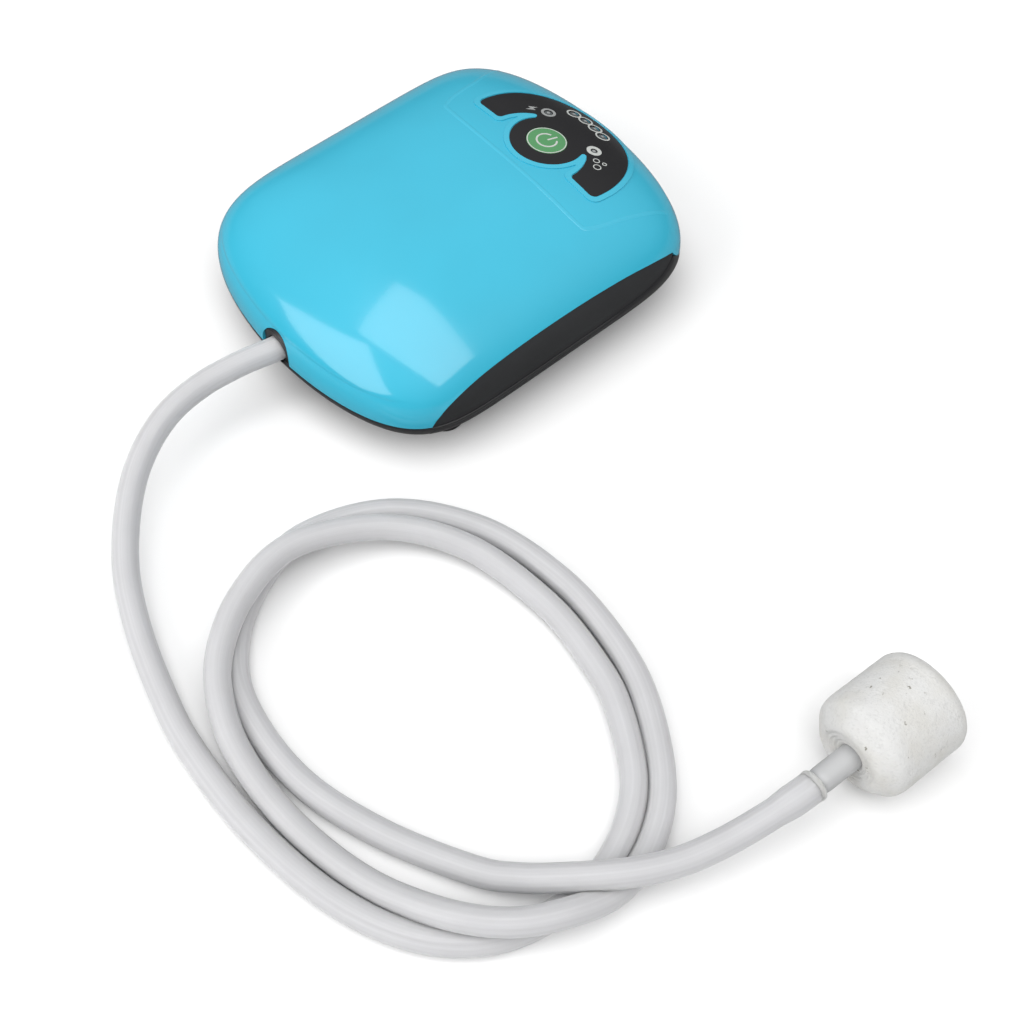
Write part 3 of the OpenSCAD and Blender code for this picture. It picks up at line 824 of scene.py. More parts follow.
@dataclass
class Studio:
    """Camera, soft lights and a pale floor."""

    aim: Vector = field(default_factory=lambda: Vector((0.06264, -0.03379, 0.0)))
    eye: Vector = field(default_factory=lambda: Vector((0.20778, -0.15875, 0.29653)))
    lens: float = 54.36
    floor_size: float = 2.4
    horizon: float = 0.13
    overhead_turn: float = 28.0
    front_turn: float = -38.0
    zenith: float = 0.74

    def camera(self) -> None:
        """Makes the camera and puts it behind the scene."""
        data = bpy.data.cameras.new("camera")
        data.lens, data.sensor_width = self.lens, 36.0
        data.clip_start, data.clip_end = 0.01, 20.0
        camera = bpy.data.objects.new("camera", data)
        bpy.context.scene.collection.objects.link(camera)
        camera.location = self.eye
        camera.rotation_euler = (self.aim - self.eye).to_track_quat("-Z", "Y").to_euler()
        bpy.context.scene.camera = camera

    def light(self, name: str, spot: Vector, target: Vector, size: tuple[float, float], power: float,
              tint: Colour = (1, 1, 1), turn: float = 0.0) -> None:
        """Makes a soft rectangular light.

        Args:
            name: Its name.
            spot: Where it hangs.
            target: What it points at.
            size: Its width and height.
            power: Its power in watts.
            tint: Its colour.
            turn: Turn about its own axis in degrees.
        """
        data = bpy.data.lights.new(name, "AREA")
        data.shape, data.size, data.size_y = "RECTANGLE", *size
        data.energy, data.color = power, tint
        lamp = bpy.data.objects.new(name, data)
        bpy.context.scene.collection.objects.link(lamp)
        lamp.location = spot
        twist = Matrix.Rotation(math.radians(turn), 4, "Z").to_quaternion()
        lamp.rotation_euler = ((target - spot).to_track_quat("-Z", "Y") @ twist).to_euler()
        lamp.visible_camera = False

    def sky(self) -> None:
        """Surrounds the scene with a soft grey, brighter overhead, that the camera sees as white."""
        world = bpy.data.worlds.new("studio")
        bpy.context.scene.world = world
        world.use_nodes = True
        tree = world.node_tree
        back = tree.nodes["Background"]
        back.inputs["Color"].default_value = (1, 1, 1, 1)
        split = tree.nodes.new("ShaderNodeSeparateXYZ")
        tree.links.new(tree.nodes.new("ShaderNodeTexCoord").outputs["Generated"], split.inputs[0])
        rise = tree.nodes.new("ShaderNodeMapRange")
        rise.inputs["From Min"].default_value, rise.inputs["From Max"].default_value = 0.1, 0.8
        rise.inputs["To Min"].default_value, rise.inputs["To Max"].default_value = self.horizon, self.zenith
        tree.links.new(split.outputs["Z"], rise.inputs["Value"])
        seen = tree.nodes.new("ShaderNodeMix")
        seen.inputs[3].default_value = 1.0
        tree.links.new(tree.nodes.new("ShaderNodeLightPath").outputs["Is Camera Ray"], seen.inputs[0])
        tree.links.new(rise.outputs["Result"], seen.inputs[2])
        tree.links.new(seen.outputs[0], back.inputs["Strength"])

    def build(self) -> None:
        """Makes the floor, the surroundings and the lights."""
        bm = bmesh.new()
        bmesh.ops.create_grid(bm, x_segments=2, y_segments=2, size=self.floor_size / 2)
        mesh = bpy.data.meshes.new("floor")
        bm.to_mesh(mesh)
        bm.free()
        floor = bpy.data.objects.new("floor", mesh)
        bpy.context.scene.collection.objects.link(floor)
        mesh.materials.append(PAPER.dress())
        self.sky()
        self.light("overhead", Vector((0.35, -0.13, 1.23)), Vector((0.03, -0.03, 0.03)),
                   (0.84, 2.1), 14.5, turn=self.overhead_turn)
        self.light("front", Vector((-0.25, -1.24, 0.72)), Vector((0.017, -0.045, 0.02)),
                   (1.38, 0.9), 11.0, turn=self.front_turn)
        bpy.context.scene.view_settings.view_transform = "Standard"
        LOG.info("studio ready")


# ---------------------------------------------------------------- hose and stone

ROUTE = """0 -44 15.2  0 -52 15.2  -2 -61 14.9  -3.5 -71.5 13.8  -2.5 -82 12.2  2.5 -92.5 10.2
10.5 -101.5 8.2  22 -110 6.2  35.5 -116 4.6  51 -120.5 3.5  65 -123 3.1
87 -123.5 3.1  109 -120 3.1  125.5 -112.5 3.1  136 -101 3.1  140 -86 3.1
138.5 -72.5 3.1  130.5 -59.5 3.1  115.5 -50 3.1  103.5 -46.5 3.1  87 -45 3.2
66 -49 4.6  50.5 -60.5 6.6  42.5 -79.5 9.3  45.5 -95.5 8.8  54.5 -108 7.6
66 -114.5 6  77 -116.8 4.2  89 -117 3.2  100.5 -115.6 3.1  111 -113 3.5
120 -109.5 5.2  129.5 -104.5 8  137 -98 9.3  142 -89.5 8.8  144.5 -78.5 5.2
142.5 -67.5 3.2  134.5 -55.5 3.1  119 -45 3.1  104 -40 3.1  84.5 -38.5 3.1
63.5 -43 3.1  46 -56 3.1  38.5 -75.5 3.1  43.5 -92.5 3.1  54.5 -104.5 3.1
68 -109.5 3.1  86 -110 3.1  105 -104.5 3.1  123 -95.5 3.5  130.5 -90 5.2
136.5 -84.5 8  141.5 -78.8 9.4  146 -72 9.4  149.5 -64.5 9  152 -56 9.1
154 -47 10.3  155.3 -39.5 11.5  155.7 -35.2 11.7"""


@dataclass
class AirHose:
    """The free hose, from the nozzle in the casing to the stone's stem."""

    diameter: float = 6.0 * MM
    sides: int = 20
    step: float = 2.2 * MM
    flare: float = 3.35 * MM
    flare_length: float = 9.5 * MM

    def course(self) -> list[Vector]:
        """Returns the close points of the hose's centreline."""
        numbers = [float(word) * MM for word in ROUTE.split()]
        return catmull([Vector(numbers[i:i + 3]) for i in range(0, len(numbers), 3)], self.step)

    def length(self, course: list[Vector]) -> float:
        """Returns the length of a course."""
        return sum((b - a).length for a, b in zip(course, course[1:]))

    def build(self) -> bpy.types.Object:
        """Makes the hose, wider where the stem stretches it.

        Returns:
            The hose.
        """
        course = self.course()
        total = self.length(course)
        data = bpy.data.curves.new("hose_line", "CURVE")
        data.dimensions = "3D"
        data.bevel_depth, data.bevel_resolution = self.diameter / 2, self.sides // 4 - 1
        data.use_fill_caps = True
        line = data.splines.new("POLY")
        line.points.add(len(course) - 1)
        run = 0.0
        for i, spot in enumerate(course):
            run += (spot - course[i - 1]).length if i else 0.0
            line.points[i].co = (*spot, 1)
            near = min(1.0, max(0.0, (run - total + self.flare_length) / (3.0 * MM)))
            line.points[i].radius = 1 + (2 * self.flare / self.diameter - 1) * near * near * (3 - 2 * near)
        helper = bpy.data.objects.new("hose_line", data)
        bpy.context.scene.collection.objects.link(helper)
        mesh = baked(helper)
        finish_mesh(mesh, 50)
        hose = add_piece("air_hose_tube", mesh, HOSE_VINYL, replaces=("air_hose",))
        self.line, self.total = course, total
        return hose

    def declare(self) -> None:
        LOG.info("hose %.3f m", self.total)


@dataclass
class AirStone:
    """The mineral stone and its stem, on the hose's end."""

    end: Vector
    turn: float = -3.0
    radius: float = 11.7 * MM
    start: float = 9.0 * MM
    length: float = 22.8 * MM
    stem_radius: float = 2.8 * MM
    stem_length: float = 13.0 * MM

    def at(self) -> Matrix:
        """Returns the frame whose Z runs along the stem into the stone."""
        spin = Matrix.Rotation(math.radians(self.turn), 4, "Z") @ Matrix.Rotation(math.radians(-90), 4, "X")
        return Matrix.Translation(self.end) @ spin

    def stone(self) -> bpy.types.Object:
        """Makes the stone with its chamfered front, ringed recess and rough skin."""
        r, h, s = self.radius, self.length, self.stem_radius
        corners = [(0, 4 * MM, 0), (s, 4 * MM, 0), (s, 1.0 * MM, 0.2 * MM), (3.4 * MM, 0.7 * MM, 0.2 * MM),
                   (3.9 * MM, 0.9 * MM, 0.2 * MM), (4.4 * MM, 0.42 * MM, 0.2 * MM),
                   (4.9 * MM, 0.64 * MM, 0.2 * MM),
                   (5.4 * MM, 0.2 * MM, 0.2 * MM), (5.9 * MM, 0.4 * MM, 0.2 * MM),
                   (6.5 * MM, 0.0, 0.3 * MM), (7.2 * MM, 0.0, 0.3 * MM), (8.2 * MM, 0.35 * MM, 1.0 * MM),
                   (r - 0.35 * MM, 3.3 * MM, 1.8 * MM), (r, 5.2 * MM, 1.4 * MM), (r, h - 2.0 * MM, 1.0 * MM),
                   (r - 1.4 * MM, h, 1.0 * MM), (4 * MM, h, 0), (0, h, 0)]
        profile = rounded_profile(corners, 6)
        fine = [profile[0]]
        for a, b in zip(profile, profile[1:]):
            count = max(1, math.ceil(math.dist(a, b) / (0.45 * MM)))
            fine += [(a[0] + (b[0] - a[0]) * i / count, a[1] + (b[1] - a[1]) * i / count)
                     for i in range(1, count + 1)]
        bm = turned(fine, Matrix.Identity(4), 180)
        bm.normal_update()
        draw = random.Random(11)
        waves = [(Vector([draw.uniform(-1, 1) for _ in range(3)]).normalized() * draw.uniform(300, 2600),
                  draw.uniform(0, math.tau)) for _ in range(40)]
        for vert in bm.verts:
            if math.hypot(vert.co.x, vert.co.y) > s * 1.02:
                rough = sum(math.sin(vert.co.dot(k) + phase) / (1 + k.length / 900)
                            for k, phase in waves) / len(waves)
                vert.co += vert.normal * (rough * 0.5 * MM)
        bmesh.ops.transform(bm, matrix=self.at() @ Matrix.Translation((0, 0, self.start)), verts=bm.verts)
        return add_piece("stone_block", bm, STONE_WHITE, replaces=("air_stone",), angle=60)

    def stem(self) -> bpy.types.Object:
        """Makes the stem, with the barb that holds the hose and a small collar at the stone."""
        s, h = self.stem_radius, self.stem_length
        corners = [(0, 0, 0), (s - 0.5 * MM, 0, 0.1 * MM), (s - 0.05 * MM, 1.2 * MM, 0.2 * MM),
                   (s, 2 * MM, 0.2 * MM), (s, h - 2.6 * MM, 0.3 * MM),
                   (s + 0.25 * MM, h - 1.9 * MM, 0.2 * MM),
                   (s + 0.25 * MM, h, 0.05 * MM), (0, h, 0)]
        bm = turned(rounded_profile(corners, 4), self.at(), 64)
        return add_piece("stone_stem_tube", bm, STEM_WHITE, replaces=("stone_stem",))

    def rim(self) -> bpy.types.Object:
        """Makes the turned-over rim of the hose, stretched over the stem."""
        corners = [(self.stem_radius, -1.1 * MM, 0), (3.3 * MM, -1.1 * MM, 0.1 * MM),
                   (3.43 * MM, -0.75 * MM, 0.2 * MM),
                   (3.43 * MM, -0.1 * MM, 0.2 * MM), (3.15 * MM, 0.25 * MM, 0.2 * MM),
                   (self.stem_radius, 0.3 * MM, 0)]
        profile = rounded_profile(corners, 4)
        # The rim's paler vinyl is a painted highlight.
        return add_piece("hose_end_rim", turned(profile + profile[:1], self.at(), 72), RIM_VINYL_PAINTED_HIGHLIGHT)

    def build(self) -> list[bpy.types.Object]:
        """Makes the pieces on the hose's end."""
        return [self.stone(), self.stem(), self.rim()]


# ---------------------------------------------------------------- casing


@dataclass(frozen=True)
class Casing:
    """The casing's outer surface: one rounded outline, domed above the seam and tucked in below."""

    half_width: float = 43.3 * MM
    half_length: float = 52.6 * MM
    seam: float = 13.4 * MM
    top: float = 34.4 * MM
    base: float = 2.4 * MM
    plan_p: float = 1.8
    plan_q: float = 6.75
    dome_s: float = 2.36
    dome_t: float = 2.37
    tuck: float = 0.2
    band_top: float = 20.4 * MM
    band_step: float = 0.28 * MM

    def share(self, x: np.ndarray, y: np.ndarray) -> np.ndarray:
        """Finds the scale of the outline that passes through each place in plan.

        Args:
            x: Places across.
            y: Places along.

        Returns:
            The scales.
        """
        a = np.abs(x) / self.half_width + 1e-9
        b = np.abs(y) / self.half_length + 1e-9
        k = np.maximum(a, b)
        for _ in range(30):
            first, second = (a / k) ** self.plan_p, (b / k) ** self.plan_q
            k = k + k * (first + second - 1) / (self.plan_p * first + self.plan_q * second)
        return k

    def scale(self, z: float) -> float:
        """Returns the outline's scale at a height."""
        if z < self.seam:
            return 1 - self.tuck * ((self.seam - z) / (self.seam - self.base)) ** 2
        rise = min(1.0, (z - self.seam) / (self.top - self.seam)) ** self.dome_t
        return max(0.0, 1 - rise) ** (1 / self.dome_s)

    def full_x(self, y: float) -> float:
        """Returns how far across the full outline reaches at a place along it."""
        return self.half_width * max(0.0, 1 - abs(y / self.half_length) ** self.plan_q) ** (1 / self.plan_p)

    def heights(self, x: np.ndarray, y: np.ndarray) -> np.ndarray:
        """Finds the dome's heights over places in plan, the shoulder above the band included.

        Args:
            x: Places across.
            y: Places along.

        Returns:
            The heights.
        """
        full = self.share(x, y)
        z = np.full(len(x), self.top)
        for _ in range(6):
            k = np.minimum(1.0, full / (1 + self.band(x, y, z)))
            z = self.seam + (self.top - self.seam) * (1 - k ** self.dome_s) ** (1 / self.dome_t)
        return z

    def height(self, x: float, y: float) -> float:
        """Returns the dome's height over a place in plan."""
        return float(self.heights(np.array([x]), np.array([y]))[0])

    def band(self, x: np.ndarray, y: np.ndarray, z: np.ndarray) -> np.ndarray:
        """Gives the slight shoulder above the rim band at both ends, as a share of the scale.

        Args:
            x: Places across.
            y: Places along.
            z: Heights.

        Returns:
            The extra scale at each.
        """
        ends = np.clip((np.abs(y) / self.half_length - 0.85 * np.abs(x) / self.half_width) / 0.35, 0, 1)
        ends = ends * ends * (3 - 2 * ends)
        over = np.maximum(0, z - self.band_top)
        rise = (1 - np.exp(-over / (0.5 * MM))) * np.exp(-over / (7 * MM))
        return ends * rise * self.band_step / (50 * MM)

    def normals(self, points: np.ndarray) -> np.ndarray:
        """Works out the outward normals of the dome, band included.

        Args:
            points: Points on it, one to a row.

        Returns:
            Unit normals, one to a row.
        """
        def level(p: np.ndarray) -> np.ndarray:
            """Gives a value that grows outwards through the dome."""
            rise = np.maximum(0, (p[:, 2] - self.seam) / (self.top - self.seam)) ** self.dome_t
            return (self.share(p[:, 0], p[:, 1]) / (1 + self.band(*p.T))) ** self.dome_s + rise

        step = 0.02 * MM
        slopes = [level(points + step * axis) - level(points - step * axis) for axis in np.eye(3)]
        out = np.stack(slopes, 1)
        return out / np.maximum(np.linalg.norm(out, axis=1, keepdims=True), 1e-12)

    def around(self, x: float, y: float) -> tuple[float, float]:
        """Moves a place in plan out to the full outline along its own direction."""
        k = float(self.share(np.array([x]), np.array([y]))[0])
        return x / k, y / k

    def outline(self, spacing: float) -> list[tuple[float, float]]:
        """Walks round the full outline from the middle of its right side, through the far end.

        Args:
            spacing: Distance between its points.

        Returns:
            Its points.
        """
        raw = []
        for i in range(4000):
            t = math.tau * i / 4000
            raw.append(self.around(math.cos(t) * self.half_width, math.sin(t) * self.half_length))
        raw.append(raw[0])
        steps = np.array([0.0] + [math.dist(p, q) for p, q in zip(raw, raw[1:])]).cumsum()
        count = round(float(steps[-1]) / spacing)
        marks = np.linspace(0, steps[-1], count, endpoint=False)
        xs, ys = np.array(raw).T
        return list(zip(np.interp(marks, steps, xs).tolist(), np.interp(marks, steps, ys).tolist()))

    def profile(self) -> tuple[np.ndarray, np.ndarray, np.ndarray]:
        """Walks up the dome: distance along it, outline scale and height."""
        angles = np.linspace(0, math.pi / 2, 1500)
        scales = np.cos(angles) ** (2 / self.dome_s)
        scales[-1] = 0
        heights = self.seam + (self.top - self.seam) * np.sin(angles) ** (2 / self.dome_t)
        legs = np.hypot(np.diff(scales) * 46 * MM, np.diff(heights))
        return np.concatenate([[0], legs.cumsum()]), scales, heights

    def lay(self, x: float, y: float, above: float) -> Vector:
        """Puts a point over a place in plan.

        Args:
            x: Place across.
            y: Place along.
            above: Distance off the dome, along its normal.

        Returns:
            The point.
        """
        spot = np.array([[x, y, self.height(x, y)]])
        return Vector((spot + above * self.normals(spot))[0])


CASING = Casing()
SEAM_EDGE = CASING.seam + 0.2 * MM
ARCH = [(-38.35, 13.6), (-37.9, 14.6), (-36.9, 16.1), (-34.1, 18.55), (-29.1, 20.6), (-22, 21.8),
        (-10, 22.35),
        (6, 22.35), (20, 21.75), (29, 20.55), (34.0, 19.25), (36.1, 18.4), (36.45, 17.85),
        (36.85, 17.2), (37.4, 16.5),
        (38.0, 15.85), (38.6, 15.25), (39.4, 14.65), (40.2, 14.2), (41.0, 13.85), (41.8, 13.6)]
CREASE = [(-38.3, 13.4), (-36.5, 12.9), (-32, 12.3), (-22, 12.1), (-10, 12.3), (2, 12.7), (12, 13.2),
          (20, 13.7),
          (27, 14.4), (32, 15.4), (35, 16.5), (36.4, 17.3)]


def along(points: list[tuple[float, float]], y: float) -> float:
    """Reads a height in metres off a list of millimetre (place along, height) pairs."""
    ys, zs = zip(*points)
    return float(np.interp(y / MM, ys, zs)) * MM


def smooth_line(points: list[tuple[float, float]], step: float) -> list[tuple[float, float]]:
    """Rounds a list of millimetre (place along, height) pairs into close points."""
    return [(v.x, v.y) for v in catmull([Vector((y, z, 0)) for y, z in points], step)]


def dome_grid(columns: list[tuple[float, float, float]], rows: list[float]) -> bmesh.types.BMesh:
    """Maps a grid onto the dome, from a lower edge up to its middle.

    Args:
        columns: Place on the full outline and height of the lower edge for each column, all the way round.
        rows: Share of the way from the lower edge to the middle for each row, 0 and 1 included.

    Returns:
        The surface, closed at its middle.
    """
    bm = bmesh.new()
    wide, high = len(columns), len(rows) - 1
    bmesh.ops.create_grid(bm, x_segments=wide, y_segments=high, size=0.5)
    arc, scales, heights = CASING.profile()
    for vert in bm.verts:
        i = round((vert.co.x + 0.5) * wide) % wide
        j = round((vert.co.y + 0.5) * high)
        x, y, edge = columns[i]
        start = float(np.interp(edge, heights, arc))
        at = start + (arc[-1] - start) * rows[j]
        k, z = float(np.interp(at, arc, scales)), float(np.interp(at, arc, heights))
        k *= 1 + float(CASING.band(np.array([x * k]), np.array([y * k]), np.array([z]))[0])
        vert.co = (x * k, y * k, z)
    bmesh.ops.remove_doubles(bm, verts=bm.verts, dist=2e-6)
    bmesh.ops.recalc_face_normals(bm, faces=bm.faces)
    top = max(bm.faces, key=lambda face: face.calc_center_median().z)
    if top.normal.z < 0:
        bmesh.ops.reverse_faces(bm, faces=bm.faces)
    return bm


def polish(mesh: bpy.types.Mesh, reach: float = 0.03 * MM, angle: float = 30.0) -> None:
    """Gives the part of a mesh that lies on the dome the dome's exact normals, so that its gloss runs true.

    Args:
        mesh: The mesh.
        reach: How far off the dome a point may be.
        angle: Sharpest smooth edge elsewhere, in degrees.
    """
    finish_mesh(mesh, angle)
    count = len(mesh.vertices)
    spots = np.empty(count * 3)
    mesh.vertices.foreach_get("co", spots)
    spots = spots.reshape(-1, 3)
    scale = CASING.share(spots[:, 0], spots[:, 1]) / (1 + CASING.band(*spots.T))
    rise = np.maximum(0, (spots[:, 2] - CASING.seam) / (CASING.top - CASING.seam))
    off = np.abs(scale ** CASING.dome_s + rise ** CASING.dome_t - 1) * 20 * MM
    on_dome = (off < reach) & (spots[:, 2] > CASING.seam + 0.05 * MM)
    exact = CASING.normals(spots)
    corners = np.empty(len(mesh.loops) * 3)
    mesh.corner_normals.foreach_get("vector", corners)
    corners = corners.reshape(-1, 3)
    owners = np.empty(len(mesh.loops), dtype=np.int32)
    mesh.loops.foreach_get("vertex_index", owners)
    chosen = on_dome[owners] & ((corners * exact[owners]).sum(1) > 0.9)
    corners[chosen] = exact[owners[chosen]]
    mesh.normals_split_custom_set([tuple(n) for n in corners])


@dataclass
class TopCover:
    """The glossy cover: domed shell, hose mouth, flank arches and the lines moulded into it."""

    wall: float = 2.2 * MM
    mouth_radius: float = 5.1 * MM
    mouth_height: float = 15.2 * MM
    spacing: float = 1.0 * MM
    edge_round: float = 0.16 * MM

    def side_columns(self, side: Side) -> list[tuple[float, float, float]]:
        """Makes the columns over one flank arch, from the hose end to the panel end."""
        out = []
        for y, z in smooth_line(ARCH[:12], 0.7) + ARCH[12:]:
            k = CASING.scale(z * MM)
            out.append((side.value * CASING.full_x(y * MM / k), y * MM / k, z * MM))
        return out

    def mouth_columns(self) -> list[tuple[float, float, float]]:
        """Makes the columns over the hose's mouth, from left to right."""
        out = []
        low = [self.mouth_height - (self.mouth_height - SEAM_EDGE) * i / 4 for i in range(4, 0, -1)]
        turns = [math.pi * (1 - i / 26) for i in range(27)]
        arc = [(self.mouth_radius * math.cos(t), self.mouth_height + self.mouth_radius * math.sin(t))
               for t in turns]
        left = [(-self.mouth_radius - 0.02 * MM * (4 - i), z) for i, z in enumerate(low)]
        right = [(-x, z) for x, z in reversed(left)]
        for x, z in left + arc + right:
            k = CASING.scale(z)
            short = 1 - abs(x / k / CASING.half_width) ** CASING.plan_p
            y_full = -CASING.half_length * short ** (1 / CASING.plan_q)
            out.append((x / k, y_full, z))
        return out

    def columns(self) -> list[tuple[float, float, float]]:
        """Returns every column of the cover, anticlockwise from the right flank's hose end."""
        right = self.side_columns(Side.RIGHT)
        left = list(reversed(self.side_columns(Side.LEFT)))
        mouth = self.mouth_columns()
        plain = [(x, y, SEAM_EDGE) for x, y in CASING.outline(self.spacing)]
        far = [c for c in plain if c[1] > 0 and c[1] > right[-1][1] + 0.4 * MM]
        near = [c for c in plain if c[1] < right[0][1] - 0.4 * MM]
        far.sort(key=lambda c: -math.atan2(c[0], c[1]))
        near_left = sorted((c for c in near if c[0] < mouth[0][0] - 0.4 * MM), key=lambda c: c[0])
        near_right = sorted((c for c in near if c[0] > mouth[-1][0] + 0.4 * MM), key=lambda c: c[0])
        return right + far + left + near_left + mouth + near_right

    def rows(self) -> list[float]:
        """Returns the rows, close together near the rim and about the band."""
        marks = [0, 0.25, 0.6]
        while marks[-1] < 11.5:
            marks.append(marks[-1] + 0.45)
        while marks[-1] < 56:
            marks.append(marks[-1] + 1.15)
        return [mark / marks[-1] for mark in marks]

    def shell(self) -> bpy.types.Object:
        """Makes the shell with its wall, rounded edges and the holes under the panel."""
        helper = loose_object("cover_form", dome_grid(self.columns(), self.rows()))
        thicken(helper, self.wall)
        round_edges(helper, self.edge_round, 3, 50)
        cut = bmesh.new()
        cylinder(cut, 5.3 * MM, -6 * MM, 6 * MM, PANEL.button_frame(), 64)
        for lamp in PANEL.lamps:
            cylinder(cut, 1.2 * MM, -6 * MM, 6 * MM, PANEL.lamp_frame(lamp), 24)
        cutter = loose_object("cover_cut", cut)
        drill(helper, cutter)
        mesh = baked(helper, cutter)
        polish(mesh)
        return add_piece("cover_shell", mesh, COVER_BLUE, replaces=("top_cover",))

    def ridge(self, name: str, course: list[tuple[float, float]], width: float, height: float,
              closed: bool) -> bpy.types.Object:
        """Lays a low rounded ridge along a course on the dome.

        Args:
            name: The piece's name.
            course: Places in plan, close together.
            width: Its width.
            height: How far it stands proud.
            closed: Whether it comes back to its start.

        Returns:
            The ridge.
        """
        spots = np.array([[x, y, CASING.height(x, y)] for x, y in course])
        ups = CASING.normals(spots)
        half = width / 2
        sunk = 0.05 * MM
        turns = [math.pi * i / 8 for i in range(9)]
        section = [(half * math.cos(t), -sunk + (height + sunk) * math.sin(t)) for t in turns]
        section += [(-half, -0.3 * MM), (half, -0.3 * MM)]
        bm = bmesh.new()
        sweep(bm, [Vector(p) for p in spots], [Vector(n) for n in ups], section, closed)
        close_up(bm, 1e-7)
        # The ridge takes the paler land blue, which is painted light.
        return add_piece(name, bm, LAND_BLUE_PAINTED_LIGHT, angle=50)

    def build(self) -> None:
        """Makes the shell and the recess line round the panel."""
        self.shell()
        corners = [(-31.5, 43.6), (-26.2, 31.5), (-23.0, 19.6), (-18.4, 16.9), (6, 16.3), (26.0, 16.6),
                   (29.9, 19.2),
                   (31.9, 29.0), (33.4, 40.5)]
        line = catmull([Vector((x * MM, y * MM, 0)) for x, y in corners], 0.8 * MM)
        self.ridge("cover_recess_line", [(p.x, p.y) for p in line], 1.2 * MM, 0.055 * MM, False)


# ---------------------------------------------------------------- panel and button


@dataclass
class ControlPanel:
    """The dark film with its lamps and printed marks, and the raised land round it."""

    middle: float = 3.0 * MM
    button_y: float = 28.6 * MM
    reach: float = 21.0 * MM
    drop: float = 1.5 * MM
    foot: float = -4.0 * MM
    disc: float = 9.0 * MM
    slit: float = 10.6 * MM
    bay: float = 12.9 * MM
    bay_drop: float = 4.2 * MM
    slit_angle: float = math.atan2(15.3, 30)
    film_low: float = -0.5 * MM
    film_high: float = 0.08 * MM
    land_high: float = 0.24 * MM
    ink: float = 0.02 * MM
    ink_foot: float = 0.05 * MM
    button_hole: float = 5.08 * MM
    lamps: tuple[tuple[float, float, float, float], ...] = (
        (-8.6, 36.8, 1.85, 1.05), (8.4, 36.5, 1.85, 0.75), (-6.3, 43.3, 1.85, 1.1), (-2.9, 44.1, 1.85, 1.1),
        (0.6, 44.1, 1.85, 1.1), (4.0, 43.5, 1.85, 1.1))

    def button_frame(self) -> Matrix:
        """Returns the button's frame: origin on the dome, Z along its normal."""
        x, y, reach = self.middle, self.button_y, 2 * MM
        drop = CASING.height(x, y - reach) - CASING.height(x, y + reach)
        tilt = Matrix.Rotation(-math.atan(drop / (4 * MM)), 4, "X")
        return Matrix.Translation((x, y, CASING.height(x, y))) @ tilt

    def lamp_frame(self, lamp: tuple[float, float, float, float]) -> Matrix:
        """Returns a lamp's frame: origin on the dome, Z along its normal."""
        x, y = self.middle + lamp[0] * MM, lamp[1] * MM
        base = CASING.lay(x, y, 0)
        normal = CASING.lay(x, y, 1 * MM) - base
        return Matrix.Translation(base) @ normal.to_track_quat("Z", "Y").to_matrix().to_4x4()

    def arc(self, cx: float, cy: float, r: float, start: float, end: float,
            step: float = 0.4 * MM) -> list[tuple[float, float]]:
        """Returns points on an arc.

        Args:
            cx: Its centre across from the panel's middle.
            cy: Its centre along from the button.
            r: Its radius.
            start: Its first angle in radians.
            end: Its last angle in radians.
            step: Distance between its points.

        Returns:
            The points.
        """
        count = max(3, math.ceil(abs(end - start) * r / step))
        turns = [start + (end - start) * i / count for i in range(count + 1)]
        return [(cx + r * math.cos(t), cy + r * math.sin(t)) for t in turns]

    def half(self, g: float) -> list[tuple[float, float]]:
        """Works out the right half of the film's outline, from the top down to the disc's lowest point.

        Args:
            g: How far outside the film's own edge it runs.

        Returns:
            Its points, from the panel's middle and the button.
        """
        big, tip, inner = self.reach + g, 1.6 * MM + g * 0.6, 1.1 * MM + g * 0.5
        foot = self.foot - g
        cy = foot + tip
        cx = math.sqrt((big - tip) ** 2 - (cy + self.drop) ** 2)
        out = self.arc(0, -self.drop, big, math.pi / 2, math.atan2(cy + self.drop, cx))
        out += self.arc(cx, cy, tip, math.atan2(cy + self.drop, cx), -math.pi / 2)[1:]
        bay = self.bay - g
        fy = foot + inner
        fx = math.sqrt((bay + inner) ** 2 - (fy + self.bay_drop) ** 2)
        touch = math.atan2(fy + self.bay_drop, fx)
        out += self.arc(fx, fy, inner, -math.pi / 2, touch - math.pi)
        disc, slit = self.disc + g, self.slit - g
        if slit - disc > 0.3 * MM:
            meet_y = (bay ** 2 - slit ** 2 - self.bay_drop ** 2) / (2 * self.bay_drop)
            meet_x = math.sqrt(slit ** 2 - meet_y ** 2)
            out += self.arc(0, -self.bay_drop, bay, touch, math.atan2(meet_y + self.bay_drop, meet_x))[1:]
            mid, cap = (slit + disc) / 2, (slit - disc) / 2
            a = self.slit_angle
            out += self.arc(0, 0, slit, math.atan2(meet_y, meet_x), a - cap / mid)[1:]
            out += self.arc(mid * math.cos(a - cap / mid), mid * math.sin(a - cap / mid), cap, a - cap / mid,
                            a - cap / mid + math.pi, 0.2 * MM)[1:]
            out += self.arc(0, 0, disc, a - cap / mid, -math.pi / 2)[1:]
        else:
            meet_y = (bay ** 2 - disc ** 2 - self.bay_drop ** 2) / (2 * self.bay_drop)
            meet = math.atan2(meet_y, math.sqrt(disc ** 2 - meet_y ** 2))
            top = math.atan2(meet_y + self.bay_drop, math.sqrt(disc ** 2 - meet_y ** 2))
            out += self.arc(0, -self.bay_drop, bay, touch, top - 0.05)[1:]
            out += self.arc(0, 0, disc, meet - 0.09, -math.pi / 2)
        return out

    def outline(self, g: float) -> list[tuple[float, float]]:
        """Returns the whole outline in plan, anticlockwise as seen from above."""
        right = self.half(g)
        both = right + [(-x, y) for x, y in reversed(right[1:-1])]
        return [(self.middle + x, self.button_y + y) for x, y in reversed(both)]

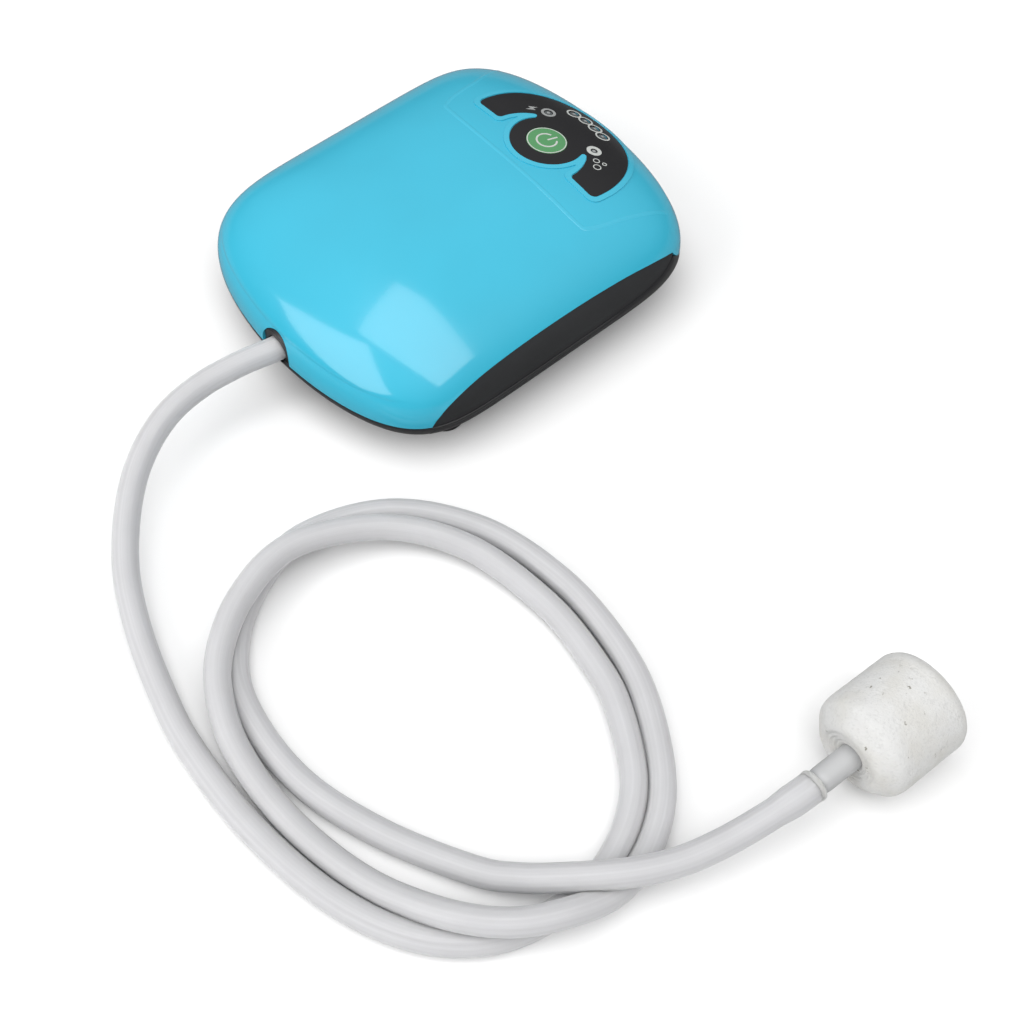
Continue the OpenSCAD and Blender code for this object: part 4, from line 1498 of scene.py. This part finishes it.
    def sheet(self, outside: list[tuple[float, float]], holes: list[list[tuple[float, float]]], low: float,
              high: float, rounding: float, cell: float = 1.4 * MM) -> bmesh.types.BMesh:
        """Makes a thin sheet that follows the dome.

        Args:
            outside: Its outline in plan.
            holes: Outlines of its holes.
            low: Its underside, off the dome.
            high: Its upper side, off the dome.
            rounding: Size of its rounded upper edge.
            cell: Size of its cells.

        Returns:
            The sheet.
        """
        bm = bmesh.new()
        edges = []
        for ring in [outside, *holes]:
            verts = [bm.verts.new((x, y, 0)) for x, y in ring]
            edges += [bm.edges.new(pair) for pair in zip(verts, verts[1:] + verts[:1])]
        bmesh.ops.triangle_fill(bm, edges=edges, use_beauty=True, normal=(0, 0, 1))
        xs, ys = zip(*outside)
        for axis, values in ((Vector((1, 0, 0)), xs), (Vector((0, 1, 0)), ys)):
            spot = min(values) + cell
            while spot < max(values) - 0.3 * MM:
                bmesh.ops.bisect_plane(bm, geom=bm.verts[:] + bm.edges[:] + bm.faces[:], dist=2e-6,
                                       plane_co=axis * spot, plane_no=axis)
                spot += cell
        top = bm.faces[:]
        made = bmesh.ops.extrude_face_region(bm, geom=top, use_keep_orig=True)
        raised = {v for v in made["geom"] if isinstance(v, bmesh.types.BMVert)}
        spots = np.array([[v.co.x, v.co.y, 0.0] for v in bm.verts])
        spots[:, 2] = CASING.heights(spots[:, 0], spots[:, 1])
        ups = CASING.normals(spots)
        rims = []
        for vert, spot, up in zip(bm.verts[:], spots, ups):
            vert.co = Vector(spot + up * (high if vert in raised else low))
        bmesh.ops.recalc_face_normals(bm, faces=bm.faces)
        for edge in bm.edges:
            if len(edge.link_faces) == 2 and all(v in raised for v in edge.verts):
                flat = [all(v in raised for v in f.verts) for f in edge.link_faces]
                if flat.count(True) == 1:
                    rims.append(edge)
        if rounding:
            bmesh.ops.bevel(bm, geom=rims, offset=rounding, offset_type="OFFSET", segments=3, profile=0.5,
                            affect="EDGES", clamp_overlap=True, material=-1)
        return bm

    def circle(self, x: float, y: float, r: float, sides: int = 40) -> list[tuple[float, float]]:
        """Returns a circle in plan, x from the panel's middle and y along the casing."""
        return [(self.middle + x + r * math.cos(math.tau * i / sides), y + r * math.sin(math.tau * i / sides))
                for i in range(sides)]

    def true_normals(self, mesh: bpy.types.Mesh, share: float = 0.985) -> None:
        """Gives the faces that follow the dome the dome's normals.

        Args:
            mesh: The mesh.
            share: How closely a corner's own normal must agree.
        """
        finish_mesh(mesh, 35)
        spots = np.array([v.co[:] for v in mesh.vertices])
        exact = CASING.normals(spots)
        normals = []
        for loop, corner in zip(mesh.loops, mesh.corner_normals):
            true = Vector(exact[loop.vertex_index])
            normals.append(tuple(true if corner.vector.dot(true) > share else corner.vector))
        mesh.normals_split_custom_set(normals)

    def place_sheet(self, name: str, bm: bmesh.types.BMesh, finish: Finish,
                    replaces: tuple[str, ...] = (), body: str = "casing") -> bpy.types.Object:
        """Makes a piece of a sheet, with the dome's normals.

        Args:
            name: The piece's name.
            bm: The sheet.
            finish: Its finish.
            replaces: CAD nodes it stands for.
            body: The body it rides on.

        Returns:
            The piece.
        """
        mesh = bpy.data.meshes.new(name)
        bm.to_mesh(mesh)
        bm.free()
        self.true_normals(mesh)
        return add_piece(name, mesh, finish, body, replaces)

    def film(self) -> None:
        """Makes the dark film, with a hole for the button and windows for the lamps."""
        holes = [self.circle(0, self.button_y, self.button_hole, 96)]
        holes += [self.circle(x * MM, y * MM, window * MM, 28) for x, y, _, window in self.lamps]
        bm = self.sheet(self.outline(0), holes, self.film_low, self.film_high, 0.07 * MM)
        self.place_sheet("panel_film_sheet", bm, FILM_BLACK, ("control_panel",))

    def land(self) -> None:
        """Makes the raised land that frames the film."""
        bm = self.sheet(self.outline(1.45 * MM), [self.outline(0.16 * MM)], -0.3 * MM, self.land_high,
                        0.2 * MM, 2.2 * MM)
        # The land takes the paler land blue, which is painted light.
        self.place_sheet("cover_panel_land", bm, LAND_BLUE_PAINTED_LIGHT)

    def lenses(self) -> None:
        """Makes the lamp windows: shallow domed lenses just under the film's face."""
        for index, lamp in enumerate(self.lamps):
            r = lamp[3] * MM - 0.03 * MM
            core = min(r, 1.0 * MM)
            corners = [(0, -3.4 * MM, 0), (core, -3.4 * MM, 0), (core, -0.7 * MM, 0), (r, -0.7 * MM, 0),
                       (r, -0.04 * MM, 0.06 * MM), (r * 0.5, 0.03 * MM, r * 0.3), (0, 0.04 * MM, 0)]
            bm = turned(rounded_profile(corners, 4), self.lamp_frame(lamp), 32)
            stands_for = ("led_lenses",) if index == 0 else ()
            add_piece(f"lamp_window_{index}", bm, LAMP_WINDOW, replaces=stands_for)
            dot = turned([(0, -0.9 * MM), (0.42 * MM, -0.9 * MM), (0.42 * MM, 0.055 * MM), (0, 0.06 * MM)],
                         self.lamp_frame(lamp), 20)
            add_piece(f"lamp_die_{index}", dot, GREY_INK)

    def rings(self) -> None:
        """Prints a ring round each lamp."""
        for index, (x, y, outer, window) in enumerate(self.lamps):
            inner = window + 0.12 if index < 2 else outer - 0.42
            lift = self.film_high + (0.02 + 0.004 * index) * MM
            edge, hole = (self.circle(x * MM, y * MM, r * MM, 56) for r in (outer, inner))
            bm = self.sheet(edge, [hole], self.film_high - self.ink_foot, lift, 0.0, 0.9 * MM)
            self.place_sheet(f"lamp_ring_{index}", bm, PALE_INK if index else GREY_INK)

    def marks(self) -> None:
        """Prints a plain symbol beside each of the two upper lamps: a bolt and three bubbles."""
        bolt = [(0.25, 1.1), (-0.75, -0.15), (-0.1, -0.15), (-0.3, -1.1), (0.75, 0.2), (0.1, 0.2)]
        ring = [(self.middle + (-11.9 + x * 1.5) * MM, (34.2 + y * 1.5) * MM) for x, y in bolt]
        bm = self.sheet(ring, [], self.film_high - self.ink_foot, self.film_high + self.ink, 0.0, 0.8 * MM)
        self.place_sheet("panel_mark_bolt", bm, GREY_INK)
        for index, (x, y, r) in enumerate(((11.6, 34.3, 0.85), (13.5, 32.8, 1.0), (13.4, 35.3, 0.6))):
            edge, hole = (self.circle(x * MM, y * MM, reach * MM, 32) for reach in (r, r - 0.24))
            bm = self.sheet(edge, [hole], self.film_high - self.ink_foot, self.film_high + self.ink,
                            0.0, 0.8 * MM)
            self.place_sheet(f"panel_mark_bubble_{index}", bm, PALE_INK)

    def build(self) -> None:
        """Makes every piece of the panel."""
        self.film()
        self.land()
        self.lenses()
        self.rings()
        self.marks()


PANEL = ControlPanel()


@dataclass
class PowerButton:
    """The green button with its pale rim and power symbol, which moves as one."""

    radius: float = 4.96 * MM
    skirt: float = 6.2 * MM
    face: float = 0.05 * MM
    symbol_radius: float = 2.45 * MM
    stroke: float = 0.46 * MM
    gap: float = math.radians(30)
    lean: float = math.radians(-8)

    def ring(self, x: float, y: float, r: float) -> list[tuple[float, float]]:
        """Returns a circle in plan about the button's middle."""
        return PANEL.circle(x, PANEL.button_y + y, r, 80)

    def symbol(self) -> list[tuple[float, float]]:
        """Returns the outline of the open ring of the power symbol."""
        r, w = self.symbol_radius, self.stroke / 2
        start, end = math.pi / 2 + self.lean + self.gap, math.pi / 2 + self.lean + math.tau - self.gap
        outer = PANEL.arc(PANEL.middle, PANEL.button_y, r + w, start, end, 0.25 * MM)
        inner = PANEL.arc(PANEL.middle, PANEL.button_y, r - w, end, start, 0.25 * MM)
        return outer + inner

    def bar(self) -> list[tuple[float, float]]:
        """Returns the outline of the power symbol's bar."""
        turn = Matrix.Rotation(self.lean, 2)
        corners = [(-1, 0.25), (1, 0.25), (1, 3.1), (-1, 3.1)]
        spots = [turn @ Vector((x * self.stroke / 2, y * MM)) for x, y in corners]
        return [(PANEL.middle + p.x, PANEL.button_y + p.y) for p in spots]

    def build(self) -> None:
        """Makes the button's body and its printed face."""
        corners = [(0, -4.5 * MM, 0), (1.6 * MM, -4.5 * MM, 0.1 * MM), (1.6 * MM, -4 * MM, 0),
                   (self.skirt, -4 * MM, 0.15 * MM), (self.skirt, -3.1 * MM, 0.15 * MM),
                   (4.9 * MM, -3.1 * MM, 0.1 * MM), (4.9 * MM, -0.45 * MM, 0.1 * MM), (0, -0.4 * MM, 0)]
        bm = turned(rounded_profile(corners, 3), PANEL.button_frame(), 96)
        add_piece("button_body", bm, SLOT_FINISHES[Slot.BLACK], "button", ("power_button",))
        low, high = -0.9 * MM, self.face
        face = PANEL.sheet(self.ring(0, 0, self.radius), [], low, high, 0.10 * MM, 1.0 * MM)
        PANEL.place_sheet("button_face", face, GREEN_PRINT, body="button")
        rim = PANEL.sheet(self.ring(0, 0, self.radius - 0.1 * MM), [self.ring(0, 0, self.radius - 0.36 * MM)],
                          high - 0.05 * MM, high + 0.02 * MM, 0, 1.0 * MM)
        PANEL.place_sheet("button_rim", rim, PALE_INK, body="button")
        for name, outline in (("button_symbol_ring", self.symbol()), ("button_symbol_bar", self.bar())):
            mark = PANEL.sheet(outline, [], high - 0.05 * MM, high + 0.025 * MM, 0, 1.0 * MM)
            PANEL.place_sheet(name, mark, PALE_INK, body="button")


# ---------------------------------------------------------------- bottom shell


@dataclass
class BottomShell:
    """The dark tub with its rolled lip, matt flank panels, vents, socket and the hose's lower notch."""

    wall: float = 2.2 * MM
    lip_gap: float = 0.15 * MM
    flank_inset: float = 0.35 * MM
    flank_wall: float = 1.8 * MM
    lip_wall: float = 1.2 * MM
    socket_y: float = 44 * MM
    boss: tuple[float, float] = (26 * MM, 38.5 * MM)
    foot: tuple[float, float] = (31.8 * MM, 28.3 * MM)

    def tub_form(self) -> bpy.types.Object:
        """Makes the tub as one closed wall: outside, rolled lower edge, floor and inside."""
        plan = CASING.outline(1.0 * MM)
        top = CASING.seam - self.lip_gap
        outside = [top, 12.8 * MM, 12.2 * MM, 11.5 * MM, 10.5 * MM, 9.5 * MM, 8.5 * MM, 7.5 * MM,
                   6.5 * MM, 5.5 * MM, 4.6 * MM, 3.8 * MM, 3.2 * MM]
        rings = [(CASING.scale(z), z) for z in outside]
        last = rings[-1][0]
        rings += [(last - 0.008, 2.75 * MM), (last - 0.02, 2.5 * MM), (last - 0.036, CASING.base)]
        rings += [(last * share, CASING.base) for share in (0.8, 0.6, 0.4, 0.2, 0.0)]
        floor = CASING.base + self.wall
        thin = self.wall / (CASING.half_width * 1.02)
        rings += [(last * share, floor) for share in (0.0, 0.25, 0.5, 0.75)]
        inside = (floor, 6 * MM, 8 * MM, 10 * MM, 12 * MM, top)
        rings += [(CASING.scale(z) - thin, z) for z in inside] + [rings[0]]
        bm = bmesh.new()
        bmesh.ops.create_grid(bm, x_segments=len(plan), y_segments=len(rings) - 1, size=0.5)
        for vert in bm.verts:
            x, y = plan[round((vert.co.x + 0.5) * len(plan)) % len(plan)]
            k, z = rings[round((vert.co.y + 0.5) * (len(rings) - 1))]
            vert.co = (x * k, y * k, z)
        close_up(bm, 2e-6)
        bmesh.ops.delete(bm, geom=[edge for edge in bm.edges if not edge.link_faces], context="EDGES")
        if min(bm.faces, key=lambda face: face.calc_center_median().z).normal.z > 0:
            bmesh.ops.reverse_faces(bm, faces=bm.faces)
        helper = loose_object("tub_form", bm)
        round_edges(helper, 0.2 * MM, 2, 55)
        return helper

    def rounded_box(self, bm: bmesh.types.BMesh, low: tuple[float, float, float],
                    high: tuple[float, float, float], rounding: float, axis: int) -> None:
        """Adds a box with its edges along one axis rounded.

        Args:
            bm: The bmesh to add to.
            low: Its lowest corner.
            high: Its highest corner.
            rounding: Radius of the rounded edges.
            axis: The axis that those edges run along.
        """
        size = [b - a for a, b in zip(low, high)]
        middle = [(a + b) / 2 for a, b in zip(low, high)]
        place = Matrix.Translation(middle) @ Matrix.Diagonal((*size, 1))
        made = bmesh.ops.create_cube(bm, size=1, matrix=place)
        edges = {e for v in made["verts"] for e in v.link_edges}
        chosen = [e for e in edges if abs((e.verts[0].co - e.verts[1].co)[axis]) > size[axis] * 0.9]
        bmesh.ops.bevel(bm, geom=chosen, offset=rounding, segments=4, profile=0.5, affect="EDGES",
                        material=-1)

    def tub(self) -> None:
        """Makes the tub, with its openings cut."""
        helper = self.tub_form()
        cut = bmesh.new()
        for i in (-1, 1):
            for j in (-1, 1):
                at = Matrix.Translation((i * self.boss[0], j * self.boss[1], 0))
                cylinder(cut, 3.1 * MM, -1 * MM, 6.6 * MM, at)
                at = Matrix.Translation((i * self.foot[0], j * self.foot[1], 0))
                cylinder(cut, 5.0 * MM, -1 * MM, 3.6 * MM, at, 64)
        for y in (-25, -22, -19):
            low, high = (1 * MM, (y - 0.6) * MM, -1 * MM), (9 * MM, (y + 0.6) * MM, 7 * MM)
            self.rounded_box(cut, low, high, 0.59 * MM, 2)
        low, high = (-4.6 * MM, self.socket_y, 7.4 * MM), (4.6 * MM, 60 * MM, 11.6 * MM)
        self.rounded_box(cut, low, high, 1.6 * MM, 1)
        at = Matrix.Translation((0, -35 * MM, 15.2 * MM)) @ Matrix.Rotation(math.radians(90), 4, "X")
        cylinder(cut, 3.6 * MM, 0, 40 * MM, at, 64)
        cutter = loose_object("tub_cut", cut)
        drill(helper, cutter)
        mesh = baked(helper, cutter)
        finish_mesh(mesh, 40)
        add_piece("shell_tub", mesh, SHELL_LIP, replaces=("bottom_shell",))

    def flank(self, side: Side) -> None:
        """Makes one matt flank panel, up to its arch and down to the crease.

        Args:
            side: The casing's side.
        """
        arch = smooth_line([(y, z) for y, z in ARCH if y < 36.7], 0.7)
        marks = [-38.1 + 74.5 * i / 130 for i in range(131)]
        rows = 22
        bm = bmesh.new()
        bmesh.ops.create_grid(bm, x_segments=len(marks) - 1, y_segments=rows, size=0.5)
        ys, zs = zip(*arch)
        for vert in bm.verts:
            y = marks[round((vert.co.x + 0.5) * (len(marks) - 1))]
            v = round((vert.co.y + 0.5) * rows) / rows
            low = along(CREASE, y * MM)
            high = max(low + 0.05 * MM, (float(np.interp(y, ys, zs)) - 0.28) * MM)
            z = low + (high - low) * v
            k = CASING.scale(z)
            full = CASING.full_x(y * MM / k)
            vert.co = (side.value * (k * full - self.flank_inset), y * MM, z)
        bmesh.ops.recalc_face_normals(bm, faces=bm.faces)
        if sum(face.normal.x for face in bm.faces) * side.value < 0:
            bmesh.ops.reverse_faces(bm, faces=bm.faces)
        helper = loose_object("flank_form", bm)
        thicken(helper, self.flank_wall)
        round_edges(helper, 0.25 * MM, 2, 50)
        mesh = baked(helper)
        finish_mesh(mesh, 45)
        add_piece(f"shell_flank_{side.name.lower()}", mesh, SHELL_MATT)

    def lip(self, side: Side) -> None:
        """Makes the polished lip between a flank's crease and the tub, up to the cover's far corner.

        Args:
            side: The casing's side.
        """
        marks = [-38.2 + 79.6 * i / 140 for i in range(141)]
        rows = 10
        top_line = CREASE[:-1] + [(36.3, 17.0), (37.2, 16.35), (38.6, 15.0), (40.2, 13.9), (41.4, 13.35)]
        bm = bmesh.new()
        bmesh.ops.create_grid(bm, x_segments=len(marks) - 1, y_segments=rows, size=0.5)
        for vert in bm.verts:
            y = marks[round((vert.co.x + 0.5) * (len(marks) - 1))]
            v = round((vert.co.y + 0.5) * rows) / rows
            high = along(top_line, y * MM) - 0.04 * MM
            low = min(high - 0.1 * MM, 9.5 * MM)
            z = low + (high - low) * v
            k = CASING.scale(z)
            full = CASING.full_x(y * MM / k)
            proud = 0.12 * MM * math.sin(math.pi * v) + 0.03 * MM
            inner = 0.35 * MM * max(0.0, (v - 0.86) / 0.14) ** 2
            vert.co = (side.value * (k * full + proud - inner), y * MM, z)
        bmesh.ops.recalc_face_normals(bm, faces=bm.faces)
        if sum(face.normal.x for face in bm.faces) * side.value < 0:
            bmesh.ops.reverse_faces(bm, faces=bm.faces)
        helper = loose_object("lip_form", bm)
        thicken(helper, self.lip_wall)
        mesh = baked(helper)
        finish_mesh(mesh, 40)
        add_piece(f"shell_lip_{side.name.lower()}", mesh, SHELL_LIP)

    def feet(self) -> None:
        """Makes the four rubber feet, dished underneath."""
        for index, (i, j) in enumerate(((-1, -1), (1, -1), (-1, 1), (1, 1))):
            at = Matrix.Translation((i * self.foot[0], j * self.foot[1], 0))
            corners = [(0, 0.35 * MM, 0), (2.6 * MM, 0.35 * MM, 0.4 * MM), (3.0 * MM, 0, 0.25 * MM),
                       (4.3 * MM, 0, 0.5 * MM),
                       (4.85 * MM, 0.8 * MM, 0.6 * MM), (4.85 * MM, 3.5 * MM, 0.2 * MM), (0, 3.5 * MM, 0)]
            bm = turned(rounded_profile(corners, 5), at, 72)
            stands_for = ("rubber_feet",) if index == 0 else ()
            add_piece(f"foot_{index}", bm, FOOT_RUBBER, replaces=stands_for)

    def screws(self) -> None:
        """Makes the casing screws, with cross recesses in their pan heads."""
        for index, (i, j) in enumerate(((-1, -1), (1, -1), (-1, 1), (1, 1))):
            at = Matrix.Translation((i * self.boss[0], j * self.boss[1], 0))
            corners = [(0, 4.8 * MM, 0), (1.9 * MM, 4.85 * MM, 0.5 * MM), (2.75 * MM, 5.5 * MM, 0.5 * MM),
                       (2.8 * MM, 6.55 * MM, 0.1 * MM), (1.35 * MM, 6.6 * MM, 0.1 * MM),
                       (1.35 * MM, 19.2 * MM, 0.3 * MM),
                       (0, 20 * MM, 0)]
            helper = loose_object("screw_form", turned(rounded_profile(corners, 4), at, 48))
            cut = bmesh.new()
            for turn in (0, 90):
                spin = Matrix.Rotation(math.radians(turn + 20 * index), 4, "Z")
                place = at @ spin @ Matrix.Translation((0, 0, 5.1 * MM))
                size = Matrix.Diagonal((3.0 * MM, 0.55 * MM, 1.5 * MM, 1))
                made = bmesh.ops.create_cube(cut, size=1, matrix=place @ size)
                for vert in made["verts"]:
                    if vert.co.z > 5.2 * MM:
                        middle = at.translation
                        vert.co.x = middle.x + (vert.co.x - middle.x) * 0.4
                        vert.co.y = middle.y + (vert.co.y - middle.y) * 0.4
            cutter = loose_object("screw_cut", cut)
            drill(helper, cutter, True)
            mesh = baked(helper, cutter)
            finish_mesh(mesh, 35)
            stands_for = ("casing_screws",) if index == 0 else ()
            add_piece(f"casing_screw_{index}", mesh, SCREW_STEEL, replaces=stands_for)

    def collar(self) -> None:
        """Makes the dark collar that lines the hose's mouth."""
        at = Matrix.Translation((0, -51.8 * MM, 15.2 * MM)) @ Matrix.Rotation(math.radians(-90), 4, "X")
        corners = [(3.3 * MM, 0, 0.3 * MM), (4.95 * MM, 0, 0.2 * MM), (4.95 * MM, 5.5 * MM, 0.1 * MM),
                   (3.3 * MM, 5.5 * MM, 0.1 * MM)]
        profile = rounded_profile(corners, 4)
        add_piece("shell_hose_collar", turned(profile + profile[:1], at, 72), SHELL_LIP)

    def build(self) -> None:
        """Makes every piece of the bottom shell."""
        self.tub()
        self.collar()
        for side in Side:
            self.flank(side)
            self.lip(side)
        self.feet()
        self.screws()


# ---------------------------------------------------------------- mechanism


@dataclass
class Mechanism:
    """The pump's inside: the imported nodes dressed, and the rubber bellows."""

    own: tuple[tuple[str, Finish], ...] = (
        ("coil_wires", GlossPlastic("wire_sleeve_black", (0.02, 0.02, 0.02), 0.35, 2e-5, 0.05)),
        ("arm_magnets", Metal("magnet_nickel", (0.60, 0.60, 0.60), 0.22)),
        ("bellows", SoftRubber("bellows_rubber", (0.022, 0.022, 0.022), 0.6)),
        ("valve_gasket", SoftRubber("gasket_rubber", (0.03, 0.03, 0.032), 0.7)),
        ("outlet_nozzle", SparkPlastic("nozzle_ivory", (0.62, 0.61, 0.57), 0.35)),
        ("board_leds", ClearTint("board_led", (0.75, 0.74, 0.55), 0.3, 0.4)),
    )

    def dress(self) -> None:
        """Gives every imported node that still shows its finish."""
        by_slot = {slot.value: finish for slot, finish in SLOT_FINISHES.items()}
        named = dict(self.own)
        slots = {part["node"]: part["material_slot"] for part in frame["record"]["subparts"]}
        for name, node in frame["nodes"].items():
            finish = named.get(name) or by_slot.get(slots[name]) or SLOT_FINISHES[Slot.BLACK]
            for holder in node.material_slots:
                holder.material = finish.dress()
        LOG.info("dressed %d packed nodes", len(frame["nodes"]))

    def boot(self) -> None:
        """Makes the rubber bellows, its foot on the valve head and its top on the arm."""
        low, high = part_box("bellows")
        middle, r = (Vector(low) + Vector(high)) / 2, (high[0] - low[0]) / 2
        corners = [(r - 1.2 * MM, 0, 0), (r, 0, 0.1 * MM), (r, 1.0 * MM, 0.2 * MM),
                   (r - 1.7 * MM, 2.0 * MM, 0.4 * MM), (r - 0.4 * MM, 3.1 * MM, 0.4 * MM),
                   (r - 1.9 * MM, 4.3 * MM, 0.4 * MM),
                   (r - 2.4 * MM, 5.6 * MM, 0.3 * MM), (1.2 * MM, 5.6 * MM, 0), (1.2 * MM, 4.7 * MM, 0),
                   (r - 3.1 * MM, 4.7 * MM, 0.2 * MM), (r - 2.8 * MM, 4.1 * MM, 0.2 * MM),
                   (r - 1.4 * MM, 3.1 * MM, 0.3 * MM), (r - 2.7 * MM, 2.1 * MM, 0.3 * MM),
                   (r - 1.2 * MM, 1.0 * MM, 0.1 * MM), (r - 1.2 * MM, 0, 0)]
        bm = turned(rounded_profile(corners, 4), Matrix.Translation((middle.x, middle.y, low[2])), 96)
        boot = add_piece("bellows_boot", bm, dict(self.own)["bellows"], "", ("bellows",))
        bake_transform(boot)

    def build(self) -> None:
        """Makes the bellows and dresses the rest of the mechanism."""
        self.boot()
        self.dress()


def main() -> None:
    """Builds the whole scene, camera and hose first."""
    studio = Studio()
    studio.camera()
    hose = AirHose()
    tube = hose.build()
    ends = AirStone(hose.line[-1]).build()
    hose.declare()
    studio.build()
    TopCover().build()
    PANEL.build()
    PowerButton().build()
    BottomShell().build()
    Mechanism().build()


if __name__ == "__main__":
    main()
